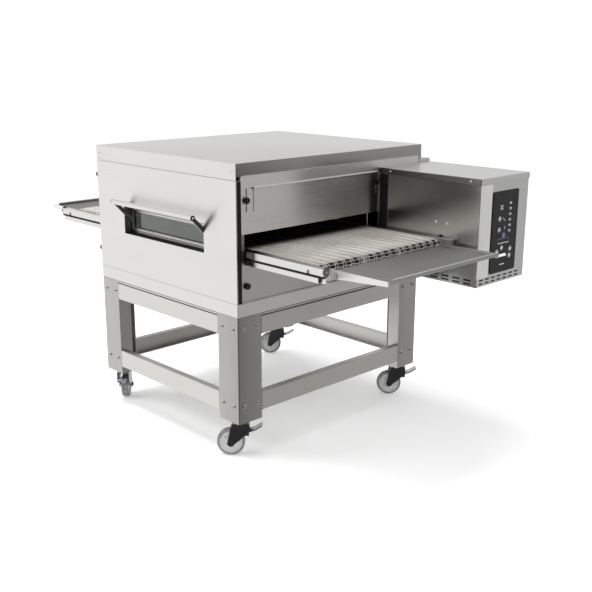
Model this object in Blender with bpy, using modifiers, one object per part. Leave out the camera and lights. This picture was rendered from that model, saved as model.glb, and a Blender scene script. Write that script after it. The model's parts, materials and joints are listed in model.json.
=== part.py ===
"""Conveyor pizza oven on a wheeled stand, as separate sub-parts at real size, in metres.

All places below are in the oven's own frame: X runs along the belt towards the exit end, -Y is the
front with the window hatch, and Z = 0 is the underside of the oven body. The empty oven_frame lifts
that frame by STAND_HEIGHT, so that Z = 0 of the world is the floor.
"""

import math

import bmesh
import bpy
from mathutils import Matrix, Vector

# --- Driving dimensions -------------------------------------------------------------------------

GAP = 0.0003  # between pieces that touch
OVER = 0.005  # how far a cutter runs past the face that it opens
SHEET = 0.002

# Oven body
BODY_LENGTH = 0.900
BODY_WIDTH = 1.0368
BODY_HEIGHT = 0.564
STAND_HEIGHT = 0.567
PAN_HEIGHT = 0.051
COVER_LONG_EDGE = 0.502  # lower edge of the top cover's front and rear flanges
COVER_END_EDGE = 0.516  # lower edge of its end flanges
SKIN_DEPTH = 0.019  # the front skin stands this far off the core
REAR_CASING = (0.500, 0.579)

# Window hatch in the front skin
WINDOW_HALF = 0.261
WINDOW_Z = (0.216, 0.328)
WINDOW_BACK = -0.478
HATCH_HALF = 0.2595
HATCH_Z = (0.219, 0.325)
HATCH_Y = (-0.486, -0.478)
HATCH_BORDER = 0.020
HATCH_AXIS = (0.0, -0.484, 0.2225)
HANDLE_AXIS_Y = -0.569
HANDLE_AXIS_Z = 0.353
HANDLE_RADIUS = 0.010
HANDLE_HALF = 0.262

# Baking tunnel and its end frames
TUNNEL_Y = (-0.4775, 0.2535)
MOUTH_Z = (0.1927, 0.345)
END_WALL = 0.441  # inner face of an end frame
FRAME_FRONT = -0.499  # its front edge, behind the front skin
HOOD_EDGE = 0.473
SHUTTER_X = (0.4436, 0.4456)
SHUTTER_Y = (-0.4955, 0.2515)
SHUTTER_UPPER_Z = (0.306, 0.480)
SHUTTER_LOWER_Z = (0.055, 0.190)
KNOB_Y = (-0.469, 0.231)
KNOB_UPPER_Z = 0.4285
KNOB_LOWER_Z = 0.1135
SLOT_Z = (0.385, 0.472)
STUD_RADIUS = 0.004

# Conveyor
BELT_Y = (-0.436, 0.212)
BELT_TOP = 0.245
BELT_THICK = 0.004
SHAFT_X = 0.770
SHAFT_Z = 0.225
SHAFT_RADIUS = 0.008
RAIL_WIDTH = 0.024
RAIL_Y = (-0.474, 0.226)  # outer face of the front rail, inner face of the rear rail
RAIL_Z = (0.193, 0.245)
RAIL_HALF = 0.840
SHELF_X = (0.797, 1.055)
SHELF_Y = (-0.396, 0.225)
SHELF_Z = (0.218, 0.220)

# Control box at the exit end
BOX_X = (0.4503, 0.946)
BOX_Y = (0.2506, 0.5785)
BOX_Z = (0.069, 0.487)
PANEL_Y = (0.335, 0.507)
PANEL_Z = (0.110, 0.430)

# Stand
LEG_FLANGE = 0.115
LEG_LIP = 0.058
LEG_SHEET = 0.003
LEG_FOOT = -0.419
RAIL_DEPTH = 0.030
UPPER_RAIL_Z = (-0.081, -0.012)
LOWER_RAIL_Z = (-0.387, -0.313)

# Castors. Heights in a castor's own frame are above the floor, and its +X is where it trails.
KINGPIN = (0.400, 0.468)
WHEEL_RADIUS = 0.0545
TRAIL = 0.039
FORK_TOP = 0.1337
FORK_HALF_WIDTH = 0.026
FORK_SHEET = 0.0035
AXLE_RADIUS = 0.006
PEDAL_PIVOT = (-0.026, 0.098)
HEADINGS = {
    "front_right": (1, -1, -134.2),
    "rear_right": (1, 1, -134.2),
    "rear_left": (-1, 1, -134.2),
    "front_left": (-1, -1, 136.3),
}

# Air system
FAN_Z = 0.265
FAN_RADIUS = 0.118
HEATER_RADIUS = 0.142
TERMINAL_HALF = 0.014  # of the distance between the heater's two terminals
LINER_Y = (-0.490, 0.404)
LINER_Z = (0.106, 0.424)
LINER_HALF = 0.438

# Finishes: base colour, roughness, metallic.
BRIGHT_STEEL = ((0.72, 0.71, 0.69), 0.32, 1.0)
SATIN_STEEL = ((0.55, 0.54, 0.53), 0.40, 1.0)
DARK_STEEL = ((0.22, 0.21, 0.20), 0.55, 1.0)
BELT_STEEL = ((0.42, 0.40, 0.37), 0.45, 1.0)
ALUMINIUM = ((0.62, 0.62, 0.63), 0.45, 1.0)
BLACK_PLASTIC = ((0.02, 0.02, 0.022), 0.45, 0.0)
GREY_RUBBER = ((0.30, 0.30, 0.31), 0.70, 0.0)
GLASS = ((0.30, 0.33, 0.31), 0.05, 0.0)

HALF_X = BODY_LENGTH / 2
HALF_Y = BODY_WIDTH / 2

# --- Scene, collections and the frame -----------------------------------------------------------

for old in list(bpy.data.objects):
    bpy.data.objects.remove(old)


def collection(name):
    made = bpy.data.collections.new(name)
    bpy.context.scene.collection.children.link(made)
    return made


PARTS = collection("conveyor_pizza_oven")
CUTTERS = collection("cutters")


def empty(name, at, parent=None, heading=0.0):
    made = bpy.data.objects.new(name, None)
    made.location = at
    made.rotation_euler.z = math.radians(heading)
    made.parent = parent
    PARTS.objects.link(made)
    return made


OVEN = empty("oven_frame", (0, 0, STAND_HEIGHT))

# --- Ways of making a mesh ----------------------------------------------------------------------


def as_mesh(name, bm):
    mesh = bpy.data.meshes.new(name)
    bm.to_mesh(mesh)
    bm.free()
    return mesh


def boxes(name, *ranges):
    """One or more boxes, each given by its X, Y and Z ranges."""
    bm = bmesh.new()
    for spans in ranges:
        middle = Matrix.Translation([(low + high) / 2 for low, high in spans])
        size = Matrix.Diagonal([high - low for low, high in spans] + [1])
        bmesh.ops.create_cube(bm, size=1, matrix=middle @ size)
    return as_mesh(name, bm)


def cylinder(name, start, end, radius, sides=20):
    """A capped cylinder from start to end."""
    start, end = Vector(start), Vector(end)
    turn = (end - start).to_track_quat("Z", "Y").to_matrix().to_4x4()
    place = Matrix.Translation((start + end) / 2) @ turn
    bm = bmesh.new()
    bmesh.ops.create_cone(
        bm, cap_ends=True, segments=sides, radius1=radius, radius2=radius,
        depth=(end - start).length, matrix=place,
    )
    return as_mesh(name, bm)


def arc(centre, radius, first, last, steps):
    """Points round an arc, with its angles in degrees."""
    angles = [math.radians(first + (last - first) * i / steps) for i in range(steps + 1)]
    return [(centre[0] + radius * math.cos(a), centre[1] + radius * math.sin(a)) for a in angles]


def rounded_rectangle(u, v, radius, steps=4):
    """Outline of a rectangle with round corners, anticlockwise."""
    corners = ((u[1], v[1], 0), (u[0], v[1], 90), (u[0], v[0], 180), (u[1], v[0], 270))
    points = []
    for corner_u, corner_v, first in corners:
        inward_u = -radius if corner_u == u[1] else radius
        inward_v = -radius if corner_v == v[1] else radius
        centre = (corner_u + inward_u, corner_v + inward_v)
        points += arc(centre, radius, first, first + 90, steps)
    return points


def evaluated_mesh(obj):
    """The object's mesh with its modifiers applied, and loose caps welded on."""
    bpy.context.view_layer.update()
    graph = bpy.context.evaluated_depsgraph_get()
    mesh = bpy.data.meshes.new_from_object(obj.evaluated_get(graph))
    bm = bmesh.new()
    bm.from_mesh(mesh)
    bmesh.ops.remove_doubles(bm, verts=bm.verts, dist=0.00001)
    bm.to_mesh(mesh)
    bm.free()
    return mesh


def draft(name, mesh):
    """A parentless object to work a shared mesh out on."""
    made = bpy.data.objects.new(name, mesh)
    CUTTERS.objects.link(made)
    return made


def finished(obj):
    """The draft's mesh with its modifiers applied. The draft itself is removed."""
    mesh = evaluated_mesh(obj)
    bpy.data.objects.remove(obj)
    return mesh


ALONG_X = Matrix(((0, 0, 1, 0), (1, 0, 0, 0), (0, 1, 0, 0), (0, 0, 0, 1)))
ALONG_Y = Matrix(((1, 0, 0, 0), (0, 0, -1, 0), (0, 1, 0, 0), (0, 0, 0, 1)))


def plate(name, outlines, span, axis):
    """A flat plate from closed outlines, holes included, that fills span along axis."""
    curve = bpy.data.curves.new(name, "CURVE")
    curve.dimensions = "2D"
    curve.fill_mode = "BOTH"
    curve.extrude = (span[1] - span[0]) / 2
    for outline in outlines:
        spline = curve.splines.new("POLY")
        spline.points.add(len(outline) - 1)
        for point, (u, v) in zip(spline.points, outline):
            point.co = (u, v, 0, 1)
        spline.use_cyclic_u = True
    mesh = finished(draft(name + "_outline", curve))
    mesh.transform(axis)
    middle = axis.to_3x3() @ Vector((0, 0, 1)) * (span[0] + span[1]) / 2
    if axis == ALONG_Y:
        middle = -middle
    mesh.transform(Matrix.Translation(middle))
    mesh.materials.clear()
    return mesh


def turned(name, profile, axis, steps, closed_loop=False):
    """A profile of (radius, height) points, top to bottom on its outer side, turned about axis."""
    bm = bmesh.new()
    points = [bm.verts.new((radius, 0, height)) for radius, height in profile]
    for first, second in zip(points, points[1:]):
        bm.edges.new((first, second))
    if closed_loop:
        bm.edges.new((points[-1], points[0]))
    guide = draft(name + "_profile", as_mesh(name, bm))
    screw = guide.modifiers.new("turn", "SCREW")
    screw.steps = steps
    screw.render_steps = steps
    screw.use_merge_vertices = True
    screw.merge_threshold = 0.00001
    mesh = finished(guide)
    mesh.transform(axis)
    mesh.shade_smooth()
    mesh.set_sharp_from_angle(angle=math.radians(35))
    return mesh


# --- Ways of making a piece ---------------------------------------------------------------------


def piece(name, mesh, finish, axis=(0, 0, 0), parent=None):
    """A named sub-part whose origin is at axis, given in its parent's frame as the mesh is."""
    if axis != (0, 0, 0):
        mesh.transform(Matrix.Translation(-Vector(axis)))
    made = bpy.data.objects.new(name, mesh)
    made.location = axis
    made.parent = parent or OVEN
    PARTS.objects.link(made)
    colour, roughness, metallic = finish
    skin = bpy.data.materials.new(name + "_finish")
    skin.use_nodes = True
    shader = skin.node_tree.nodes["Principled BSDF"]
    shader.inputs["Base Color"].default_value = (*colour, 1)
    shader.inputs["Roughness"].default_value = roughness
    shader.inputs["Metallic"].default_value = metallic
    if not mesh.materials:
        mesh.materials.append(None)
    made.material_slots[0].link = "OBJECT"
    made.material_slots[0].material = skin
    return made


def soften(obj, width=0.0012, segments=1):
    """Rounds the edges that the piece has so far."""
    bevel = obj.modifiers.new("edges", "BEVEL")
    bevel.width = width
    bevel.segments = segments
    bevel.limit_method = "ANGLE"
    return obj


def boolean(obj, operation, tools):
    """Cuts each tool from the object, or joins it on. A tool's mesh is in the object's parent's frame."""
    for tool in tools:
        helper = bpy.data.objects.new(f"{obj.name}_{tool.name}", tool)
        helper.parent = obj.parent
        helper.hide_render = True
        helper.display_type = "WIRE"
        CUTTERS.objects.link(helper)
        modifier = obj.modifiers.new(tool.name, "BOOLEAN")
        modifier.operation = operation
        modifier.object = helper
    return obj


def cut(obj, *tools):
    return boolean(obj, "DIFFERENCE", tools)


def weld(obj, *tools):
    return boolean(obj, "UNION", tools)


def shrink(span, by):
    return (span[0] + by, span[1] - by)


def mirrored(mesh, side_x, side_y):
    """A copy of the mesh, reflected where a side is -1."""
    copy = mesh.copy()
    copy.transform(Matrix.Diagonal((side_x, side_y, 1, 1)))
    if side_x * side_y < 0:
        copy.flip_normals()
    return copy


def span_at(side, low, high):
    """The X range from low to high on the exit side (+1), or its reflection on the entry side."""
    return (low, high) if side > 0 else (-high, -low)


# --- Stand --------------------------------------------------------------------------------------


def leg_mesh():
    """Lipped angle at the corner (+X, +Y), with its foot plate and the castor's fixed race."""
    across = HALF_X - LEG_FLANGE
    along = HALF_Y - LEG_FLANGE
    bend = 0.004
    outer = [(across, HALF_Y - LEG_LIP), (across, HALF_Y)]
    outer += arc((HALF_X - bend, HALF_Y - bend), bend, 90, 0, 3)
    outer += [(HALF_X, along), (HALF_X - LEG_LIP, along)]
    bm = bmesh.new()
    bottom = [bm.verts.new((x, y, LEG_FOOT)) for x, y in outer]
    edges = [bm.edges.new(pair) for pair in zip(bottom, bottom[1:])]
    made = bmesh.ops.extrude_edge_only(bm, edges=edges)["geom"]
    top = [item for item in made if isinstance(item, bmesh.types.BMVert)]
    bmesh.ops.translate(bm, verts=top, vec=(0, 0, -GAP - LEG_FOOT))
    leg = draft("leg_section", as_mesh("leg_section", bm))
    thick = leg.modifiers.new("sheet", "SOLIDIFY")
    thick.thickness = LEG_SHEET
    thick.offset = -1
    thick.use_even_offset = True
    inset = LEG_SHEET / 2
    foot_plate = 0.100
    foot = boxes("foot_plate", (
        (HALF_X - foot_plate, HALF_X - inset),
        (HALF_Y - foot_plate, HALF_Y - inset),
        (LEG_FOOT + 0.001, LEG_FOOT + 0.007),
    ))
    race_bottom = FORK_TOP + GAP - STAND_HEIGHT
    race_radius = 0.028
    race = cylinder("race", (*KINGPIN, race_bottom), (*KINGPIN, LEG_FOOT + 0.005), race_radius)
    return finished(weld(leg, foot, race))


def stand_rail(name, along, across, height, inward):
    """C section between two legs, open to the inside."""
    if inward[0]:
        spans = [across, along, height]
        groove = [None, (along[0] - OVER, along[1] + OVER), shrink(height, SHEET)]
        groove[0] = (across[0] - OVER, across[1] - SHEET)
        if inward[0] > 0:
            groove[0] = (across[0] + SHEET, across[1] + OVER)
    else:
        spans = [along, across, height]
        groove = [(along[0] - OVER, along[1] + OVER), None, shrink(height, SHEET)]
        groove[1] = (across[0] - OVER, across[1] - SHEET)
        if inward[1] > 0:
            groove[1] = (across[0] + SHEET, across[1] + OVER)
    rail = soften(piece(name, boxes(name, spans), SATIN_STEEL))
    return cut(rail, boxes("channel", groove))


def stand():
    leg = leg_mesh()
    for place, (side_x, side_y, _heading) in HEADINGS.items():
        piece(f"leg_{place}", mirrored(leg, side_x, side_y), SATIN_STEEL)
    reach_x = HALF_X - LEG_FLANGE - GAP
    reach_y = HALF_Y - LEG_FLANGE - GAP
    for level, height in (("upper", UPPER_RAIL_Z), ("lower", LOWER_RAIL_Z)):
        for place, side in (("front", -1), ("rear", 1)):
            across = tuple(sorted((side * HALF_Y, side * (HALF_Y - RAIL_DEPTH))))
            name = f"rail_{level}_{place}"
            stand_rail(name, (-reach_x, reach_x), across, height, (0, -side))
        for place, side in (("left", -1), ("right", 1)):
            across = tuple(sorted((side * HALF_X, side * (HALF_X - RAIL_DEPTH))))
            name = f"rail_{level}_{place}"
            stand_rail(name, (-reach_y, reach_y), across, height, (-side, 0))


# --- Castors ------------------------------------------------------------------------------------


def fork_mesh():
    """Swivel fork of folded sheet, with the wheel's axle bolt and the pedal's pin."""
    side = [(-0.032, FORK_TOP), (-0.032, 0.086), (-0.016, 0.086)]
    side += arc((TRAIL, WHEEL_RADIUS), 0.014, 205, 380, 8)
    side += [(0.034, FORK_TOP)]
    spread = (-FORK_HALF_WIDTH, FORK_HALF_WIDTH)
    fork = draft("fork_sheet", plate("fork_sheet", [side], spread, ALONG_Y))
    inside = FORK_HALF_WIDTH - FORK_SHEET
    past = 2 * WHEEL_RADIUS
    cut(fork, boxes("fork_gap", ((-past, past), (-inside, inside), (0, FORK_TOP - 0.004))))
    held = FORK_HALF_WIDTH - FORK_SHEET / 2
    head = FORK_HALF_WIDTH + 0.006
    weld(
        fork,
        cylinder("axle", (TRAIL, -held, WHEEL_RADIUS), (TRAIL, held, WHEEL_RADIUS), AXLE_RADIUS, 16),
        cylinder("axle_head", (TRAIL, -head, WHEEL_RADIUS), (TRAIL, -held, WHEEL_RADIUS), 0.010, 6),
        cylinder("axle_nut", (TRAIL, held, WHEEL_RADIUS), (TRAIL, head, WHEEL_RADIUS), 0.010, 6),
        cylinder(
            "pedal_pin", (PEDAL_PIVOT[0], -held, PEDAL_PIVOT[1]),
            (PEDAL_PIVOT[0], held, PEDAL_PIVOT[1]), 0.003, 12,
        ),
    )
    return finished(fork)


def wheel_mesh():
    """Tyre, web and hub in one, turned about the axle, with one of its facets flat on the floor."""
    sides = 20
    half_facet = math.pi / sides
    rim = WHEEL_RADIUS / math.cos(half_facet)
    bore = AXLE_RADIUS + 0.0004
    half = [
        (bore, 0.019), (0.015, 0.019), (0.017, 0.010), (0.039, 0.010),
        (0.042, 0.016), (rim - 0.002, 0.016), (rim, 0.012),
    ]
    profile = half + [(radius, -height) for radius, height in reversed(half)]
    wheel = turned("castor_wheel", profile, ALONG_Y, sides, closed_loop=True)
    wheel.transform(Matrix.Rotation(half_facet, 4, "Y"))
    return wheel


def pedal_mesh():
    """Foot pedal with a hub on the fork's pin and a shoe that is pressed towards the tyre."""
    pivot_x, pivot_z = PEDAL_PIVOT
    width = FORK_HALF_WIDTH - FORK_SHEET - 0.002
    hub_ends = ((pivot_x, -width, pivot_z), (pivot_x, width, pivot_z))
    pedal = draft("pedal_hub", cylinder("pedal_hub", *hub_ends, 0.006, 16))
    tread = plate(
        "tread",
        [[(0.002, -0.002), (0.030, -0.002), (0.062, 0.006), (0.062, 0.010), (0.029, 0.002),
          (0.002, 0.002)]],
        (-width + 0.001, width - 0.001), ALONG_Y,
    )
    tread.transform(Matrix.Rotation(math.radians(-162), 4, "Y") @ Matrix.Diagonal((1, 1, -1, 1)))
    tread.flip_normals()
    tread.transform(Matrix.Translation((pivot_x, 0, pivot_z)))
    shoe = boxes("shoe", ((0.001, 0.0215), (-0.009, 0.009), (-0.004, 0.004)))
    to_wheel = math.degrees(math.atan2(pivot_z - WHEEL_RADIUS, TRAIL - pivot_x))
    shoe.transform(Matrix.Rotation(math.radians(to_wheel + 20), 4, "Y"))
    shoe.transform(Matrix.Translation((pivot_x, 0, pivot_z)))
    weld(pedal, tread, shoe)
    far = 2 * width
    cut(pedal, cylinder("bore", (pivot_x, -far, pivot_z), (pivot_x, far, pivot_z), 0.0034, 12))
    return finished(pedal)


def castors():
    fork, wheel, pedal = fork_mesh(), wheel_mesh(), pedal_mesh()
    pedal.transform(Matrix.Translation((-PEDAL_PIVOT[0], 0, -PEDAL_PIVOT[1])))
    for place, (side_x, side_y, heading) in HEADINGS.items():
        foot = (side_x * KINGPIN[0], side_y * KINGPIN[1], -STAND_HEIGHT)
        swivel = empty(f"swivel_axis_{place}", foot, OVEN, heading)
        piece(f"castor_fork_{place}", fork, SATIN_STEEL, parent=swivel)
        turning = piece(f"castor_wheel_{place}", wheel, GREY_RUBBER, parent=swivel)
        turning.location = (TRAIL, 0, WHEEL_RADIUS)
        brake = piece(f"brake_pedal_{place}", pedal, SATIN_STEEL, parent=swivel)
        brake.location = (PEDAL_PIVOT[0], 0, PEDAL_PIVOT[1])


# --- Oven body ----------------------------------------------------------------------------------


def base_pan():
    pan = soften(piece(
        "base_pan",
        boxes("base_pan", ((-HALF_X, HALF_X), (-HALF_Y, HALF_Y), (0, PAN_HEIGHT))),
        BRIGHT_STEEL,
    ))
    cut(pan, boxes("pan_inside", (
        shrink((-HALF_X, HALF_X), SHEET), shrink((-HALF_Y, HALF_Y), SHEET),
        (SHEET, PAN_HEIGHT + OVER),
    )))


def top_cover():
    """Flat lid whose long flanges hang lower than its end flanges."""
    cover = soften(piece(
        "top_cover",
        boxes("top_cover", ((-HALF_X, HALF_X), (-HALF_Y, HALF_Y), (COVER_LONG_EDGE, BODY_HEIGHT))),
        BRIGHT_STEEL,
    ), 0.003, 2)
    inner_y = shrink((-HALF_Y, HALF_Y), SHEET)
    inside = boxes("cover_inside", (
        shrink((-HALF_X, HALF_X), SHEET), inner_y, (COVER_LONG_EDGE - OVER, BODY_HEIGHT - SHEET),
    ))
    # The rear casing starts where the end flanges stop.
    short_y = (inner_y[0], REAR_CASING[0] - GAP)
    ends = [
        (span_at(side, HALF_X - SHEET - OVER, HALF_X + OVER), short_y,
         (COVER_LONG_EDGE - OVER, COVER_END_EDGE))
        for side in (-1, 1)
    ]
    cut(cover, inside, boxes("cover_ends", *ends))


def front_panel():
    """Front skin with its folded edges and the deep window surround."""
    height = (PAN_HEIGHT + GAP, COVER_LONG_EDGE - GAP)
    panel = soften(piece(
        "front_panel",
        boxes("front_panel", ((-HALF_X, HALF_X), (-HALF_Y, -HALF_Y + SKIN_DEPTH), height)),
        BRIGHT_STEEL,
    ))
    back = -HALF_Y + SKIN_DEPTH + OVER
    inner = shrink(height, SHEET)
    lip_depth = 0.008
    cut(
        panel,
        boxes("skin_inside", (shrink((-HALF_X, HALF_X), SHEET), (-HALF_Y + SHEET, back), inner)),
        boxes("skin_ends", (
            (-HALF_X - OVER, HALF_X + OVER), (-HALF_Y + lip_depth, back), inner,
        )),
    )
    surround = boxes("surround", (
        (-WINDOW_HALF - SHEET, WINDOW_HALF + SHEET),
        (-HALF_Y + SHEET / 2, WINDOW_BACK),
        shrink(WINDOW_Z, -SHEET),
    ))
    window = boxes("window", (
        (-WINDOW_HALF, WINDOW_HALF), (-HALF_Y - OVER, WINDOW_BACK + OVER), WINDOW_Z,
    ))
    _x, pin_y, pin_z = HATCH_AXIS
    reach = WINDOW_HALF + SHEET + OVER
    pin_hole = cylinder("pin_hole", (-reach, pin_y, pin_z), (reach, pin_y, pin_z), 0.003, 16)
    weld(panel, surround)
    cut(panel, window, pin_hole)


def rear_casing():
    """Rear shell over the fan motor, with cooling louvres in its back."""
    height = (PAN_HEIGHT + GAP, COVER_LONG_EDGE - GAP)
    casing = soften(piece(
        "rear_casing", boxes("rear_casing", ((-HALF_X, HALF_X), REAR_CASING, height)), BRIGHT_STEEL
    ), 0.0015)
    inside = boxes("casing_inside", (
        shrink((-HALF_X, HALF_X), SHEET),
        (REAR_CASING[0] - OVER, REAR_CASING[1] - SHEET),
        shrink(height, SHEET),
    ))
    lowest, pitch, slit, half_width = 0.150, 0.030, 0.006, 0.090
    louvres = [
        (
            (middle - half_width, middle + half_width),
            (REAR_CASING[1] - OVER, REAR_CASING[1] + OVER),
            (lowest + pitch * row, lowest + pitch * row + slit),
        )
        for middle in (-0.160, 0.160) for row in range(7)
    ]
    cut(casing, inside, boxes("louvres", *louvres))


def end_frame(name, side):
    """End wall with the tunnel's mouth, and a hood over the shallow recess of the shutters."""
    outer_y = (FRAME_FRONT, REAR_CASING[0] - GAP)
    height = (PAN_HEIGHT + GAP, COVER_END_EDGE - GAP)
    frame = soften(piece(
        name, boxes(name, (span_at(side, END_WALL, HALF_X), outer_y, height)), SATIN_STEEL
    ))
    wall = END_WALL + SHEET
    skin = HALF_X - SHEET
    past = HALF_X + OVER
    deep = END_WALL - OVER
    recess_y = shrink(SHUTTER_Y, -0.001)
    recess_z = (PAN_HEIGHT + SHEET + 0.001, COVER_END_EDGE - 0.003)
    hollow_y = (TUNNEL_Y[1] + SHEET, outer_y[1] - SHEET)
    cut(
        frame,
        boxes("recess", (span_at(side, wall, skin), recess_y, recess_z)),
        boxes("opening", (span_at(side, wall + SHEET, past), recess_y, (recess_z[0], HOOD_EDGE))),
        boxes("mouth", (span_at(side, deep, wall + SHEET), TUNNEL_Y, MOUTH_Z)),
        boxes("hollow", (span_at(side, deep, skin), hollow_y, recess_z)),
    )
    studs = [
        cylinder(
            "stud_hole", (side * deep, y, z), (side * (wall + 0.001), y, z),
            STUD_RADIUS + 0.0004, 16,
        )
        for y in KNOB_Y for z in (KNOB_UPPER_Z, KNOB_LOWER_Z)
    ]
    cut(frame, *studs)
    visor = boxes("visor_lip", (
        span_at(side, HALF_X - 0.001, HALF_X + 0.006), (-0.440, 0.232),
        (HOOD_EDGE - 0.005, HOOD_EDGE + 0.002),
    ))
    weld(frame, visor)


def slot_outline(y, z, radius):
    """Upright slot with round ends."""
    return (
        arc((y, z[1] - radius), radius, 0, 180, 6) + arc((y, z[0] + radius), radius, 180, 360, 6)
    )


def shutters(end, side):
    """Sliding upper plate with its two slots, and the fixed lower plate with an ear at the front."""
    front, rear = SHUTTER_Y
    low, high = SHUTTER_UPPER_Z
    upper = [(front, low), (rear, low), (rear, high), (front, high)]
    slots = [slot_outline(y, SLOT_Z, STUD_RADIUS + 0.0005) for y in KNOB_Y]
    thickness = span_at(side, *SHUTTER_X)
    plate_mesh = plate(f"shutter_upper_{end}", [upper] + slots, thickness, ALONG_X)
    piece(f"shutter_upper_{end}", plate_mesh, SATIN_STEEL)
    low, high = SHUTTER_LOWER_Z
    ear_y, ear_z = RAIL_Y[0] - 0.0025, high + 0.017
    lower = [(front, low), (rear, low), (rear, high), (ear_y, high), (ear_y, ear_z), (front, ear_z)]
    holes = [arc((y, KNOB_LOWER_Z), STUD_RADIUS + 0.0005, 0, 337.5, 15) for y in KNOB_Y]
    plate_mesh = plate(f"shutter_lower_{end}", [lower] + holes, thickness, ALONG_X)
    piece(f"shutter_lower_{end}", plate_mesh, SATIN_STEEL)


def knob_mesh():
    """Hand knob with its threaded stud, turned about X with its face outward."""
    face, back, foot, tip = 0.0110, 0.0035, GAP, -0.0080
    grip, rim, neck = 0.0125, 0.0105, 0.0075
    profile = [
        (0, face), (rim, face), (grip, face - 0.002), (grip, back), (neck, back - 0.001),
        (neck, foot), (STUD_RADIUS, foot), (STUD_RADIUS, tip), (0, tip),
    ]
    return turned("knob", profile, ALONG_X, 12)


def knobs(end, side):
    mesh = mirrored(knob_mesh(), side, 1)
    for level, height in (("upper", KNOB_UPPER_Z), ("lower", KNOB_LOWER_Z)):
        for place, y in zip(("front", "rear"), KNOB_Y):
            knob = piece(f"knob_{level}_{end}_{place}", mesh, BLACK_PLASTIC)
            knob.location = (side * SHUTTER_X[1], y, height)


# --- Window hatch -------------------------------------------------------------------------------


def hatch():
    outer = rounded_rectangle((-HATCH_HALF, HATCH_HALF), HATCH_Z, 0.003, 2)
    hole_u = shrink((-HATCH_HALF, HATCH_HALF), HATCH_BORDER)
    hole_v = shrink(HATCH_Z, HATCH_BORDER)
    hole = rounded_rectangle(hole_u, hole_v, 0.012, 5)
    frame = piece(
        "hatch_frame", plate("hatch_frame", [outer, hole], HATCH_Y, ALONG_Y), BRIGHT_STEEL,
        axis=HATCH_AXIS,
    )
    _x, y, z = HATCH_AXIS
    near, far = HATCH_HALF - 0.004, WINDOW_HALF + SHEET
    weld(frame, *[
        cylinder(f"pin_{word}", (side * near, y, z), (side * far, y, z), 0.0025, 12)
        for word, side in (("left", -1), ("right", 1))
    ])
    pane = boxes("hatch_glass", (
        shrink(hole_u, -0.006), (HATCH_Y[1] + GAP, HATCH_Y[1] + 0.0037), shrink(hole_v, -0.006),
    ))
    piece("hatch_glass", pane, GLASS, axis=HATCH_AXIS)


def hatch_handle():
    """Round bar on two slanting arms that reach into the window to the hatch's front."""
    bar_ends = [(side * HANDLE_HALF, HANDLE_AXIS_Y, HANDLE_AXIS_Z) for side in (-1, 1)]
    bar = cylinder("hatch_handle", *bar_ends, HANDLE_RADIUS, 24)
    handle = piece("hatch_handle", bar, BRIGHT_STEEL, axis=HATCH_AXIS)
    front = HATCH_Y[0] - GAP
    arm = [
        (front, 0.258), (front, 0.286), (HANDLE_AXIS_Y + 0.004, HANDLE_AXIS_Z + 0.006),
        (HANDLE_AXIS_Y - 0.004, HANDLE_AXIS_Z - 0.006),
    ]
    weld(handle, *[
        plate(f"arm_{word}", [arm], sorted((side * 0.2535, side * HATCH_HALF)), ALONG_X)
        for word, side in (("left", -1), ("right", 1))
    ])


# --- Conveyor -----------------------------------------------------------------------------------


def conveyor_frame():
    """Two channel side rails tied by cross bars, in one welded frame that slides into the tunnel."""
    near, far = RAIL_Y
    rail_ys = ((near, near + RAIL_WIDTH), (far, far + RAIL_WIDTH))
    spans = ((-RAIL_HALF, RAIL_HALF), rail_ys[0], RAIL_Z)
    frame = piece("conveyor_frame", boxes("conveyor_frame", spans), BRIGHT_STEEL)
    weld(frame, boxes("far_rail", ((-RAIL_HALF, RAIL_HALF), rail_ys[1], RAIL_Z)))
    long = (-RAIL_HALF - OVER, RAIL_HALF + OVER)
    outer_groove = (0.211, 0.220)
    inner_groove = shrink(RAIL_Z, 0.004)
    cut(frame, boxes(
        "grooves",
        (long, (near - OVER, near + 0.010), outer_groove),
        (long, (far + RAIL_WIDTH - 0.010, far + RAIL_WIDTH + OVER), outer_groove),
        (long, (near + 0.014, near + RAIL_WIDTH + OVER), inner_groove),
        (long, (far - OVER, far + 0.010), inner_groove),
    ))
    step_x = RAIL_HALF - 0.025
    lower_flange = (RAIL_Z[0] - OVER, 0.2155)
    cut(frame, boxes(
        "lower_ends",
        *[(span_at(side, step_x, RAIL_HALF + OVER), (near - OVER, near + 0.010), lower_flange)
          for side in (-1, 1)],
    ))
    across = (near + 0.012, far + 0.012)
    bars = [((x - 0.012, x + 0.012), across, (0.213, 0.237)) for x in (-0.6, -0.2, 0.2, 0.6)]
    bars += [(span_at(side, 0.808, 0.828), across, (0.198, 0.2177)) for side in (-1, 1)]
    weld(frame, *[boxes(f"bar_{number}", bar) for number, bar in enumerate(bars)])
    for side in (-1, 1):
        x = side * SHAFT_X
        hole = cylinder(
            "shaft_hole", (x, near - OVER, SHAFT_Z), (x, far + RAIL_WIDTH + OVER, SHAFT_Z),
            SHAFT_RADIUS + 0.0005, 16,
        )
        cut(frame, hole)


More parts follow.
